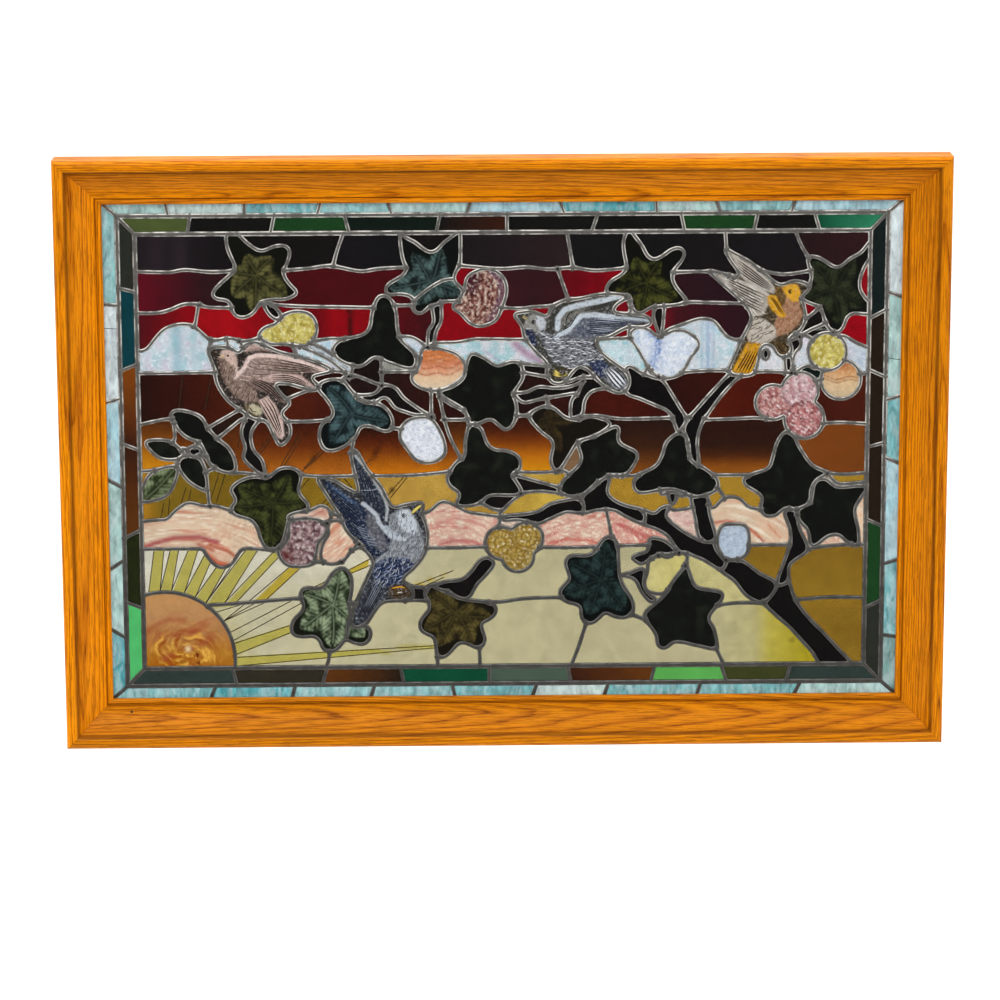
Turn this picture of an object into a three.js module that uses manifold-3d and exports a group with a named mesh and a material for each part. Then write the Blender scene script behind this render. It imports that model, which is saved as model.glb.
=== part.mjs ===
// Leaded stained glass window in a moulded oak frame: songbirds, ivy and fruit over a sunset.
// Millimetres, +Z up, front facing -Y. Origin: middle of the frame's top edge, from which it hangs.
import * as THREE from 'three';
import { mergeVertices } from 'three/addons/utils/BufferGeometryUtils.js';
import Module from 'manifold-3d';

const wasm = await Module();
wasm.setup();

// ---------- driving dimensions ----------
const WIDTH = 1150; // frame, outer
const HEIGHT = 776;
const FACE = 60; // width of the moulding, seen from the front
const DEPTH = 48; // thickness of the moulding
const BEAD = 6; // radius of the rounded outer edge
const SHOULDER = [[11, 0.3], [15, 2], [16, 3]]; // small step inside the bead: in from the edge, depth
const SCOOP = [[17, 6.5], [51, 27]]; // where the long hollow of the moulding starts and ends
const SCOOP_SIDES = 6;
const LIP_FRONT = 32; // how far the sight edge lies behind the front
const LIP_ROUND = 4; // radius of the rounded lip
const LIP_BACK = 36; // where the rebate behind the lip starts
const REBATE = 8.5; // how far the panel reaches behind the lip
const GAP = 0.3; // clearance between pieces
const CAME = 5; // width of the lead in the picture
const BORDER_CAME = 6.5; // width of the straight lead of the borders
const CAME_DEPTH = 5; // front to back
const GLASS = 3; // glass thickness
const STEP = (CAME_DEPTH - GLASS) / 2; // how far the face of the glass lies below that of the lead
const SMALLEST_PANE = 30; // square millimetres; anything smaller is filled with solder
const FINENESS = 2.2; // largest deviation allowed when an outline is thinned

const FRONT = -(DEPTH + BEAD) / 2; // centres the flat of the top edge, behind the bead, on y = 0
const SIGHT_X = WIDTH / 2 - FACE;
const SIGHT_Z = HEIGHT / 2 - FACE;
const PANEL_X = SIGHT_X + REBATE - 1.5;
const PANEL_Z = SIGHT_Z + REBATE - 1.5;
const PANEL_FRONT = FRONT + LIP_BACK + GAP;
const GLASS_FRONT = PANEL_FRONT + STEP;
const OUTER_LINE = [496, 312]; // half sizes of the lead line inside the turquoise border
const INNER_LINE = [473.5, 288.5]; // and of the one round the picture
const CENTRE_Z = -HEIGHT / 2;

const lead = { color: 0x6b6b68, roughness: 0.55, metalness: 0.6 };
const oak = { color: 0xc9862b, roughness: 0.5, metalness: 0 };
const glassOf = (color) => ({ color, roughness: 0.15, metalness: 0, transparent: true, opacity: 0.85 });

const window_ = new THREE.Group();

function place(name, geometry, finish) {
  const mesh = new THREE.Mesh(geometry, new THREE.MeshStandardMaterial(finish));
  mesh.name = name;
  window_.add(mesh);
}

// ---------- solids ----------
function toSolid(geometry) {
  const bare = geometry.clone();
  bare.deleteAttribute('normal');
  bare.deleteAttribute('uv');
  const merged = mergeVertices(bare, 1e-4);
  return new wasm.Manifold(new wasm.Mesh({
    numProp: 3,
    vertProperties: new Float32Array(merged.attributes.position.array),
    triVerts: new Uint32Array(merged.index.array),
  }));
}

function toGeometry(solid) {
  const mesh = solid.getMesh();
  const geometry = new THREE.BufferGeometry();
  geometry.setAttribute('position', new THREE.BufferAttribute(new Float32Array(mesh.vertProperties), 3));
  geometry.setIndex([...mesh.triVerts]);
  geometry.computeVertexNormals();
  return geometry;
}

// A flat plate with the given outline (panel coordinates: x right, z up from the panel's centre).
function plate(outline, front, thickness) {
  const shape = new THREE.Shape(outline.map(([x, z]) => new THREE.Vector2(x, z + CENTRE_Z)));
  const geometry = new THREE.ExtrudeGeometry(shape, { depth: thickness, bevelEnabled: false });
  geometry.rotateX(Math.PI / 2);
  geometry.translate(0, front + thickness, 0);
  return toSolid(geometry);
}

const union = (solids) => wasm.Manifold.union(solids);

function rectangle(halfX, halfZ) {
  return [[-halfX, -halfZ], [halfX, -halfZ], [halfX, halfZ], [-halfX, halfZ]];
}

// ---------- outlines ----------
function turnsLeft(outline) {
  const area = outline.reduce((sum, [x, z], i) => {
    const [nextX, nextZ] = outline[(i + 1) % outline.length];
    return sum + x * nextZ - nextX * z;
  }, 0);
  return area > 0;
}

// Drops the points that an outline can do without, always the least needed first.
function thin(points, closed, tolerance = FINENESS) {
  const kept = [...points];
  const least = closed ? 4 : 2;
  for (;;) {
    let lowest = tolerance;
    let drop = -1;
    for (let i = closed ? 0 : 1; i < kept.length - (closed ? 0 : 1); i += 1) {
      const [ax, az] = kept[(i + kept.length - 1) % kept.length];
      const [bx, bz] = kept[(i + 1) % kept.length];
      const [px, pz] = kept[i];
      const height = Math.abs((bx - ax) * (pz - az) - (bz - az) * (px - ax)) / Math.hypot(bx - ax, bz - az);
      if (height < lowest) {
        lowest = height;
        drop = i;
      }
    }
    if (drop < 0 || kept.length <= least) return kept;
    kept.splice(drop, 1);
  }
}

// Moves an outline outwards (or inwards, when the distance is negative), with blunted corners.
function offset(outline, distance) {
  const points = turnsLeft(outline) ? outline : [...outline].reverse();
  return points.map(([x, z], i) => {
    const [ax, az] = points[(i + points.length - 1) % points.length];
    const [bx, bz] = points[(i + 1) % points.length];
    const before = Math.hypot(x - ax, z - az);
    const after = Math.hypot(bx - x, bz - z);
    const first = [(z - az) / before, (ax - x) / before];
    const second = [(bz - z) / after, (x - bx) / after];
    const sum = [first[0] + second[0], first[1] + second[1]];
    const length = Math.hypot(...sum) || 1;
    const reach = distance / Math.max(length / 2, 0.6);
    return [x + sum[0] / length * reach, z + sum[1] / length * reach];
  });
}

// A strip of lead along a bent line.
function strip(line, half) {
  const side = (sign) => line.map(([x, z], i) => {
    const [ax, az] = line[Math.max(i - 1, 0)];
    const [bx, bz] = line[Math.min(i + 1, line.length - 1)];
    const length = Math.hypot(bx - ax, bz - az);
    return [x - (bz - az) / length * half * sign, z + (bx - ax) / length * half * sign];
  });
  return [...side(1), ...side(-1).reverse()];
}

// A lobed leaf: each lobe has an angle, a reach, and if need be the half width of its tip in
// degrees and the depth of the notch after it. Otherwise the notch is deeper the wider the gap.
function leaf(x, z, lobes) {
  const at = (degrees, reach) => {
    const angle = THREE.MathUtils.degToRad(degrees);
    return [x + reach * Math.cos(angle), z + reach * Math.sin(angle)];
  };
  return lobes.flatMap(([angle, reach, tip = 11, notch], i) => {
    const [nextAngle, nextReach] = lobes[(i + 1) % lobes.length];
    const gap = (nextAngle - angle + 360) % 360;
    const depth = notch ?? Math.max(0.4, 1 - gap / 180);
    const between = (reach + nextReach) / 2 * depth;
    return [at(angle - tip, reach * 0.95), at(angle + tip, reach * 0.95), at(angle + gap / 2, between)];
  });
}

// A pointed leaf from tip to tip.
function pointedLeaf([x0, z0], [x1, z1], width) {
  const length = Math.hypot(x1 - x0, z1 - z0);
  const across = [(z0 - z1) / length * width / 2, (x1 - x0) / length * width / 2];
  const side = (sign) => [0, 0.25, 0.6].map((t) => {
    const swell = Math.sin(Math.PI * t) * sign;
    const from = sign > 0 ? t : 1 - t;
    return [x0 + (x1 - x0) * from + across[0] * swell, z0 + (z1 - z0) * from + across[1] * swell];
  });
  return [...side(1), ...side(-1)];
}

function disc(x, z, radiusX, radiusZ = radiusX, sides = 10) {
  return Array.from({ length: sides }, (_, i) => {
    const angle = 2 * Math.PI * i / sides;
    return [x + radiusX * Math.cos(angle), z + radiusZ * Math.sin(angle)];
  });
}

// ---------- glass colours ----------
const BRANCH = glassOf(0x120d0c);
const OLIVE = glassOf(0x3b3a1c);
const TEAL = glassOf(0x24403f);
const GREEN = glassOf(0x46603f);
const UMBER = glassOf(0x362c1a);
const BLACK_GREEN = glassOf(0x10140e);
const PLUM = glassOf(0x8a4f4c);
const YELLOW = glassOf(0xcfc46a);
const PEACH = glassOf(0xe4a27c);
const PINK = glassOf(0xd39a9b);
const OPAL = glassOf(0xcfdde6);
const ORANGE = glassOf(0xc98f4e);
const GROUND = glassOf(0xc2bb92);
const GOLD = glassOf(0xa88a2e);
const BROWN = glassOf(0x5a1c08);
const AMBER = glassOf(0xa85510);
const TURQUOISE = glassOf(0x9fd0dc);
const DARK_BORDER = glassOf(0x1c3a30);

// ---------- the picture ----------
// Figures in the order in which they are laid: branches below, then leaves and fruit, birds on top.
// A figure with several outlines is one pane; "loose" ones are pieces of their own in the model.
const figures = [];
function figure(name, finish, outlines, loose = true) {
  figures.push({ name, finish, loose, outlines: outlines.map((outline) => thin(outline, true)) });
}

figure('trunk_foot', BRANCH, [
  [[341, -204], [358, -180], [373, -176], [385, -210], [416, -250], [452, -292], [412, -292], [376, -248]],
]);
figure('trunk_middle', BRANCH, [
  [[284, -160], [291, -147], [312, -148], [335, -165], [358, -180], [341, -204], [318, -195], [303, -176]],
]);
figure('trunk_top', BRANCH, [
  [[182, -80], [197, -84], [204, -77], [217, -74], [212, -88], [232, -106], [255, -119], [273, -119],
    [278, -133], [291, -147], [284, -160], [262, -147], [240, -138], [228, -136], [216, -116], [200, -105],
    [182, -97]],
]);
figure('bough_right', BRANCH, [
  [[101, -63], [118, -47], [131, -33], [138, -37], [135, -55], [145, -66], [160, -73], [182, -80],
    [182, -97], [160, -88], [143, -79], [120, -79], [103, -82]],
]);
figure('bough_left', BRANCH, [
  [[100, -64], [76, -66], [58, -71], [44, -80], [20, -84], [-2, -86], [0, -92], [20, -91], [42, -97],
    [62, -89], [82, -81], [103, -82]],
]);
figure('upright_bough', BRANCH, [
  [[367, -82], [380, -78], [384, -90], [387, -105], [394, -120], [399, -134], [388, -143], [374, -155],
    [373, -176], [358, -180], [366, -153], [374, -128], [375, -110], [370, -94]],
]);
figure('short_bough', BRANCH, [
  [[245, -60], [265, -60], [269, -85], [277, -119], [257, -119], [250, -90]],
], false);
figure('fork_left', BRANCH, [
  [[160, 112], [178, 104], [195, 97], [206, 94], [218, 76], [230, 56], [238, 42], [232, 30], [227, 24],
    [220, 42], [213, 53], [198, 60], [178, 69], [158, 79]],
], false);
figure('fork_right', BRANCH, [
  [[240, 42], [250, 54], [262, 68], [280, 88], [297, 104], [310, 101], [300, 92], [284, 74], [268, 52],
    [257, 34], [252, 12], [254, -19], [244, -19], [241, 5], [234, 26]],
], false);

figure('ivy_leaf_1', OLIVE, [leaf(-318, 232, [[42, 58], [124, 64], [204, 62], [247, 56], [338, 55]])]);
figure('ivy_leaf_2', TEAL, [
  leaf(-94, 225, [[58, 76, 3, 0.5], [120, 76, 3], [189, 60], [250, 45], [338, 47]]),
]);
figure('ivy_leaf_3', OLIVE, [
  leaf(183, 220, [[40, 62, 11, 0.5], [109, 70, 5], [192, 52], [253, 41], [339, 62]]),
]);
figure('ivy_leaf_4', OLIVE, [
  leaf(424, 208, [[53, 82, 4, 0.48], [123, 54], [190, 40], [281, 54], [331, 59]]),
]);
figure('ivy_leaf_5', TEAL, [
  [[-238, 92], [-226, 97], [-209, 96], [-197, 82], [-183, 68], [-165, 66], [-151, 57], [-144, 42],
    [-147, 30], [-158, 29], [-172, 35], [-186, 34], [-192, 22], [-205, 10], [-222, 3], [-234, 6],
    [-240, 22], [-236, 38], [-223, 48], [-222, 58], [-230, 72], [-240, 84]],
]);
figure('ivy_leaf_6', OLIVE, [
  leaf(-303, -66, [[57, 55], [118, 38, 8], [155, 59, 8], [192, 56], [271, 65], [348, 51]]),
]);
figure('ivy_leaf_7', GREEN, [leaf(-228, -211, [[73, 59], [146, 47], [209, 59], [269, 57], [322, 61]])]);
figure('ivy_leaf_8', UMBER, [leaf(-64, -218, [[6, 55], [137, 51], [198, 51], [248, 64, 9], [303, 57]])]);
figure('ivy_leaf_9', TEAL, [leaf(127, -175, [[79, 65, 7], [147, 56], [200, 59], [252, 61], [309, 60]])]);
figure('ivy_leaf_10', UMBER, [
  [[33, 48], [52, 60], [66, 57], [79, 46], [94, 42], [116, 46], [139, 36], [118, 20], [97, 12], [86, -4],
    [70, -27], [61, -12], [64, 12], [47, 28]],
]);
figure('dark_leaf_1', BLACK_GREEN, [leaf(-160, 150, [[78, 56, 12], [197, 63], [228, 48, 9], [327, 58]])]);
figure('dark_leaf_2', BLACK_GREEN, [
  [[-42, 130], [-26, 125], [-8, 114], [8, 119], [22, 117], [25, 98], [14, 78], [17, 60], [15, 42],
    [3, 29], [-16, 43], [-32, 38], [-44, 36], [-52, 56], [-84, 78], [-66, 87], [-52, 98], [-48, 115]],
]);
figure('dark_leaf_3', BLACK_GREEN, [
  [[-44, 36], [-30, 32], [-22, 12], [-12, 3], [6, 1], [20, -8], [21, -24], [12, -32], [22, -56],
    [-18, -58], [-30, -68], [-46, -72], [-62, -70], [-58, -56], [-70, -45], [-74, -34], [-64, -16],
    [-51, -4], [-50, 14]],
]);
figure('dark_leaf_4', BLACK_GREEN, [
  [[148, 33], [150, 12], [173, -2], [172, -14], [158, -32], [138, -33], [122, -42], [98, -60],
    [72, -54], [80, -36], [98, -18], [101, -6], [97, 12], [118, 20]],
]);
figure('dark_leaf_5', BLACK_GREEN, [
  [[228, 24], [238, 18], [240, 2], [245, -14], [262, -24], [278, -38], [278, -52], [262, -60],
    [244, -61], [230, -54], [214, -51], [178, -56], [169, -45], [176, -32], [198, -20], [207, -4],
    [212, 12]],
]);
figure('dark_leaf_6', BLACK_GREEN, [
  [[366, 24], [378, 22], [384, 6], [402, -20], [422, -31], [408, -40], [401, -54], [400, -70],
    [384, -80], [368, -78], [354, -88], [340, -87], [335, -76], [337, -62], [316, -47], [313, -38],
    [326, -31], [345, -24], [351, -8], [356, 10]],
]);
figure('dark_leaf_7', BLACK_GREEN, [
  [[406, -44], [420, -39], [436, -50], [472, -50], [460, -76], [460, -90], [464, -108], [464, -128],
    [450, -124], [438, -114], [424, -116], [410, -127], [402, -128], [398, -108], [386, -94],
    [384, -80], [400, -70]],
]);
figure('dark_leaf_8', BLACK_GREEN, [
  [[238, -154], [246, -172], [254, -184], [284, -190], [286, -200], [269, -224], [276, -240],
    [279, -266], [256, -263], [226, -257], [212, -266], [202, -262], [199, -246], [184, -222],
    [196, -207], [210, -194], [222, -174]],
]);
figure('sprig_1', BLACK_GREEN, [pointedLeaf([-466, 15], [-414, -4], 26)], false);
figure('sprig_2', BLACK_GREEN, [pointedLeaf([-424, -10], [-386, -52], 26)], false);
figure('sprig_3', BLACK_GREEN, [
  [[-432, 52], [-424, 58], [-406, 55], [-392, 48], [-384, 34], [-372, 20], [-358, 8], [-350, -8],
    [-350, -24], [-366, -24], [-382, -14], [-388, 0], [-395, 14], [-412, 22], [-424, 34]],
]);
figure('sprig_4', GREEN, [pointedLeaf([-426, -17], [-472, -63], 36)], false);

figure('plum', PLUM, [
  [[-30, 239], [-14, 238], [-2, 226], [-1, 208], [-6, 188], [-18, 172], [-32, 168], [-44, 173],
    [-54, 184], [-66, 193], [-56, 202], [-50, 216], [-46, 231]],
]);
figure('pear', YELLOW, [
  [[-316, 155], [-308, 166], [-294, 171], [-284, 182], [-268, 187], [-251, 184], [-242, 172],
    [-242, 157], [-250, 145], [-263, 141], [-280, 144], [-302, 145]],
]);
figure('peach', PEACH, [
  [[-106, 135], [-96, 139], [-78, 136], [-60, 129], [-50, 116], [-52, 101], [-66, 89], [-84, 82],
    [-104, 84], [-118, 94], [-118, 104], [-110, 112]],
]);
figure('quince', OPAL, [
  [[166, 151], [172, 161], [184, 165], [195, 160], [204, 150], [216, 154], [232, 157], [246, 148],
    [250, 138], [243, 126], [236, 112], [226, 99], [210, 96], [198, 102], [188, 118], [178, 134]],
]);
figure('orange', ORANGE, [disc(438, 93, 26)]);
figure('lime', YELLOW, [disc(420, 130, 25)]);
figure('berries', PINK, [disc(385, 79, 24), disc(347, 64, 25), disc(391, 41, 26)]);
figure('blossom', OPAL, [
  [[-134, 29], [-127, 41], [-113, 46], [-96, 45], [-86, 34], [-78, 16], [-76, -1], [-86, -11],
    [-102, -14], [-116, -9], [-125, 4], [-134, 16]],
]);
figure('pink_nugget', PINK, [
  [[-283, -86], [-274, -80], [-252, -76], [-238, -70], [-227, -77], [-226, -88], [-236, -94], [-270, -90]],
], false);
figure('plum_nugget', PLUM, [
  [[-296, -129], [-284, -118], [-281, -103], [-280, -91], [-262, -87], [-244, -89], [-232, -98],
    [-233, -108], [-243, -120], [-246, -136], [-252, -149], [-272, -152], [-288, -147]],
]);
figure('shell_nugget', PINK, [
  [[-240, -136], [-236, -120], [-229, -108], [-231, -94], [-218, -90], [-208, -94], [-201, -108],
    [-192, -122], [-200, -131], [-210, -144], [-224, -149], [-236, -146]],
]);
figure('roundels', YELLOW, [disc(-3, -122, 22), disc(29, -116, 22), disc(18, -140, 21)]);
figure('oval_nugget', OPAL, [disc(301, -123, 24, 24, 12)]);
figure('sun', ORANGE, [disc(-445, -278, 91, 93, 24)]);
figure('twig_1', BRANCH, [
  [[-92, -180], [-75, -173], [-56, -171], [-43, -160], [-33, -146], [-22, -141], [-13, -150],
    [-24, -165], [-36, -178], [-46, -195], [-58, -196], [-72, -188]],
], false);
figure('twig_2', BRANCH, [
  [[190, -118], [200, -117], [213, -122], [230, -139], [206, -139], [190, -146], [180, -152],
    [167, -143], [176, -138], [188, -134]],
], false);
figure('pale_blossom', YELLOW, [
  [[190, -147], [206, -139], [213, -144], [222, -138], [239, -138], [238, -152], [222, -174],
    [212, -190], [202, -192], [188, -188], [184, -176], [188, -162]],
], false);

figure('pink_songbird', glassOf(0xb79a92), [
  [[-382, 136], [-371, 141], [-354, 140], [-342, 133], [-335, 143], [-322, 147], [-308, 142],
    [-290, 134], [-262, 127], [-240, 120], [-222, 109], [-248, 101], [-240, 90], [-244, 83],
    [-262, 87], [-280, 92], [-296, 91], [-286, 76], [-277, 66], [-288, 53], [-278, 38], [-278, 22],
    [-290, 10], [-298, 22], [-308, 42], [-325, 46], [-342, 58], [-358, 71], [-371, 92], [-375, 115]],
]);
figure('grey_songbird', glassOf(0x8a8f98), [
  [[14, 181], [24, 184], [38, 185], [50, 180], [58, 179], [62, 190], [78, 199], [100, 202],
    [125, 207], [148, 207], [160, 203], [146, 193], [143, 184], [160, 181], [182, 179], [192, 171],
    [184, 164], [160, 163], [138, 152], [121, 147], [126, 132], [142, 118], [160, 104], [163, 88],
    [153, 77], [138, 81], [122, 94], [110, 107], [98, 112], [88, 103], [78, 91], [64, 91], [56, 103],
    [56, 117], [38, 136], [27, 152], [24, 166]],
]);
figure('gold_songbird', glassOf(0xb98a4a), [
  [[396, 213], [390, 220], [375, 223], [360, 218], [350, 222], [336, 234], [318, 248], [300, 258],
    [287, 264], [292, 252], [303, 236], [302, 228], [284, 233], [267, 236], [278, 224], [298, 206],
    [314, 190], [321, 175], [314, 158], [308, 146], [300, 126], [292, 105], [304, 99], [324, 101],
    [330, 118], [335, 138], [348, 138], [356, 125], [368, 124], [374, 134], [370, 147], [384, 158],
    [391, 172], [389, 190], [386, 202]],
]);
figure('blue_songbird', glassOf(0x39465f), [
  [[-106, -67], [-107, -80], [-101, -100], [-100, -120], [-105, -138], [-118, -155], [-133, -170],
    [-121, -182], [-122, -197], [-156, -200], [-168, -210], [-182, -230], [-198, -234], [-201, -220],
    [-190, -190], [-176, -160], [-172, -145], [-185, -127], [-205, -105], [-217, -80], [-232, -55],
    [-243, -33], [-222, -36], [-204, -47], [-190, -52], [-194, -30], [-199, 0], [-192, 3],
    [-178, -22], [-160, -46], [-146, -72], [-130, -70]],
]);

// Lead lines between the bands of the sky and the ground; what a figure covers is left out.
const lines = [
  [[-473, 240], [-430, 239], [-410, 242], [-375, 239], [-340, 241]],
  [[-290, 240], [-250, 243], [-222, 246], [-185, 239], [-160, 242], [-120, 244]],
  [[-60, 246], [-30, 243], [0, 241], [30, 243], [60, 240], [90, 242], [120, 238], [165, 242]],
  [[215, 235], [250, 236], [275, 235], [300, 228]],
  [[330, 238], [350, 233], [370, 232], [400, 237]],
  [[-205, 290], [-214, 265], [-219, 246]],
  [[82, 290], [90, 242]],
  [[286, 290], [288, 262]],
  [[376, 290], [384, 270], [396, 250]],
  [[-473, 186], [-447, 186], [-430, 190], [-412, 197], [-395, 197], [-380, 193], [-345, 192]],
  [[-322, 199], [-270, 194], [-200, 192], [-158, 191]],
  [[-145, 194], [-110, 194]],
  [[-6, 191], [20, 189], [40, 191], [68, 192]],
  [[195, 190], [222, 193], [241, 196], [270, 195], [310, 194]],
  [[-395, 197], [-401, 170]],
  [[70, 241], [84, 200]],
  [[-473, 136], [-462, 138], [-450, 152], [-440, 163], [-428, 169], [-412, 171], [-400, 168],
    [-388, 158], [-377, 150], [-352, 152], [-338, 148], [-315, 152]],
  [[-245, 148], [-225, 151], [-203, 151], [-172, 157]],
  [[-142, 152], [-118, 152], [-96, 137]],
  [[-100, 137], [-88, 144], [-60, 145], [-38, 149], [-15, 149], [30, 148]],
  [[203, 150], [213, 160], [232, 167], [255, 174], [272, 171], [288, 152], [302, 146], [318, 147]],
  [[432, 147], [440, 151], [458, 141], [474, 134]],
  [[-473, 107], [-430, 107], [-368, 108]],
  [[-160, 107], [-112, 107]],
  [[18, 117], [60, 113]],
  [[118, 148], [150, 149], [172, 150]],
  [[232, 104], [270, 106], [305, 105]],
  [[320, 104], [350, 104], [385, 101]],
  [[455, 100], [474, 101]],
  [[-473, 39], [-455, 43], [-440, 46], [-424, 47]],
  [[-283, 42], [-255, 42], [-226, 44]],
  [[-152, 34], [-128, 30]],
  [[10, 48], [38, 48]],
  [[88, 44], [105, 47], [125, 47], [150, 43], [190, 43], [220, 44]],
  [[262, 41], [300, 42], [325, 43], [342, 42]],
  [[412, 35], [440, 36], [474, 34]],
  [[-473, -23], [-455, -22], [-436, -22]],
  [[-370, -22], [-350, -25], [-328, -27], [-305, -31]],
  [[-275, -27], [-245, -31], [-196, -31]],
  [[-176, -31], [-150, -31], [-110, -30], [-70, -26]],
  [[16, -27], [50, -28], [74, -26]],
  [[130, -33], [175, -33]],
  [[276, -33], [318, -33]],
  [[415, -31], [445, -33], [474, -31]],
  [[-473, -90], [-455, -88], [-440, -87], [-430, -77], [-415, -66], [-405, -66], [-390, -70],
    [-375, -70], [-345, -80]],
  [[-386, -48], [-384, -70]],
  [[-108, -82], [-96, -78], [-85, -68], [-77, -66], [-64, -71], [-48, -80], [-30, -83], [4, -88]],
  [[18, -56], [45, -53], [72, -56], [98, -61]],
  [[-5, -84], [8, -68], [22, -56]],
  [[-473, -127], [-400, -127], [-393, -130], [-385, -142], [-375, -151], [-365, -152], [-355, -146],
    [-345, -130], [-335, -127], [-300, -130]],
  [[-213, -146], [-202, -132], [-184, -125]],
  [[-104, -128], [-60, -128], [-22, -127]],
  [[44, -128], [85, -129], [120, -128]],
  [[145, -127], [190, -126]],
  [[318, -127], [345, -127], [378, -127]],
  [[394, -133], [425, -129], [462, -127], [474, -128]],
  [[-388, -203], [-350, -201], [-300, -197], [-260, -194]],
  [[-205, -201], [-190, -203]],
  [[-158, -198], [-98, -199]],
  [[-20, -202], [0, -201], [30, -197], [76, -196]],
  [[280, -208], [310, -205], [345, -206]],
  [[378, -202], [400, -200], [430, -198], [474, -199]],
  [[-230, -262], [-231, -278], [-236, -291]],
  [[-88, -274], [-88, -291]],
  [[-33, -262], [-32, -291]],
  [[108, -230], [98, -262], [87, -291]],
  [[277, -262], [290, -291]],
  [[141, -115], [134, -80]],
  [[158, -216], [188, -228]],
  [[264, -62], [272, -78], [285, -66], [297, -62], [310, -66], [320, -76], [340, -80]],
  [[-197, 76], [-168, 78], [-158, 89], [-148, 89], [-138, 84], [-128, 71], [-93, 46]],
  [[-158, 124], [-158, 88]],
  [[-94, 86], [-94, 45]],
  [[-85, 86], [-78, 48], [-70, 20], [-56, -8]],
  [[-84, 74], [-66, 62], [-48, 54]],
  [[14, 78], [46, 86], [66, 84], [86, 86], [114, 104]],
  [[140, 84], [114, 79], [105, 66], [103, 46]],
  [[-388, 32], [-340, 60]],
  [[388, 172], [400, 180], [410, 190]],
  [[368, 144], [384, 150], [396, 158], [412, 165]],
];

// Large panes of sky and ground that are pieces of their own: name, colour and a point in each.
const skyPanes = [
  ['ground_pane_1', GROUND, -300, -240],
  ['ground_pane_2', GROUND, -150, -240],
  ['ground_pane_3', GROUND, 30, -240],
  ['ground_pane_4', GROUND, 150, -265],
  ['ground_pane_5', YELLOW, 330, -240],
  ['gold_pane_1', GOLD, 430, -165],
  ['gold_pane_2', GOLD, 440, -230],
  ['brown_pane', BROWN, -430, 80],
  ['amber_pane', AMBER, 450, 10],
];

// Cross leads of the borders: where each meets the outer and the inner line, side by side.
const outerCrosses = {
  top: [[-434, -430], [-332, -332], [-233, -239], [-149, -143], [-41, -47], [72, 79], [197, 198],
    [273, 280], [377, 371]],
  bottom: [[-388, -380], [-281, -275], [-177, -171], [-65, -69], [36, 43], [131, 137], [253, 259],
    [381, 391]],
  left: [[198, 196], [67, 74], [-32, -45], [-156, -141], [-233, -247]],
  right: [[200, 208], [72, 65], [-20, -11], [-147, -154], [-253, -249]],
};
const innerCrosses = {
  top: [[-402, -406], [-294, -299], [-204, -198], [-81, -86], [5, 5], [122, 114], [229, 234],
    [328, 323], [401, 408]],
  bottom: [[-352, -358], [-240, -233], [-132, -137], [-20, -20], [88, 83], [193, 198], [293, 285],
    [371, 377]],
  left: [[219, 213], [110, 119], [14, 5], [-112, -101], [-198, -207]],
  right: [[185, 173], [96, 106], [9, 3], [-103, -93], [-202, -213]],
};

// ---------- frame ----------
// Profile across the moulding: distance from the outer edge, and depth behind the front.
function mouldingProfile() {
  const arc = (cx, cy, radius, from, to, steps) => Array.from({ length: steps + 1 }, (_, i) => {
    const angle = THREE.MathUtils.degToRad(from + (to - from) * i / steps);
    return [cx + radius * Math.cos(angle), cy - radius * Math.sin(angle)];
  });
  const panelEdge = FACE - REBATE;
  const [[fromU, fromDepth], [toU, toDepth]] = SCOOP;
  const scoop = Array.from({ length: SCOOP_SIDES + 1 }, (_, i) => {
    const t = i / SCOOP_SIDES;
    return [fromU + (toU - fromU) * t, fromDepth + (toDepth - fromDepth) * Math.sin(Math.PI / 2 * t) ** 0.85];
  });
  return [
    [0, DEPTH],
    ...arc(BEAD, BEAD, BEAD, 180, 90, 3),
    ...SHOULDER,
    ...scoop,
    ...arc(FACE - LIP_ROUND, LIP_FRONT, LIP_ROUND, 140, 0, 4),
    [FACE, LIP_BACK],
    [panelEdge, LIP_BACK],
    [panelEdge, DEPTH],
  ];
}

// One mitred length, its outer edge along +X at height 0 and its sight edge below.
function moulding(length) {
  const profile = new THREE.Shape(mouldingProfile().map(([u, y]) => new THREE.Vector2(u, y)));
  const geometry = new THREE.ExtrudeGeometry(profile, { depth: length, bevelEnabled: false });
  const position = geometry.attributes.position;
  for (let i = 0; i < position.count; i += 1) {
    const u = position.getX(i);
    const along = position.getZ(i) < length / 2 ? u + GAP / 2 : length - u - GAP / 2;
    position.setXYZ(i, along - length / 2, FRONT + position.getY(i), -u);
  }
  geometry.computeVertexNormals();
  return geometry;
}

function rail(name, length, turn, x, z) {
  const geometry = moulding(length);
  geometry.rotateY(turn);
  geometry.translate(x, 0, z);
  place(name, geometry, oak);
}
rail('top_rail', WIDTH, 0, 0, 0);
rail('bottom_rail', WIDTH, Math.PI, 0, -HEIGHT);
rail('left_stile', HEIGHT, -Math.PI / 2, -WIDTH / 2, CENTRE_Z);
rail('right_stile', HEIGHT, Math.PI / 2, WIDTH / 2, CENTRE_Z);

// ---------- borders ----------
function loop([halfX, halfZ], half, front, thickness) {
  const outside = plate(rectangle(halfX + half, halfZ + half), front, thickness);
  return outside.subtract(plate(rectangle(halfX - half, halfZ - half), front - 1, thickness + 2));
}

const EDGE_LINE = [PANEL_X - BORDER_CAME / 2, PANEL_Z - BORDER_CAME / 2];
const lineHalf = BORDER_CAME / 2;
place('edge_came', toGeometry(loop(EDGE_LINE, lineHalf, PANEL_FRONT, CAME_DEPTH)), lead);
place('border_came', toGeometry(loop(OUTER_LINE, lineHalf, PANEL_FRONT, CAME_DEPTH)), lead);

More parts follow.
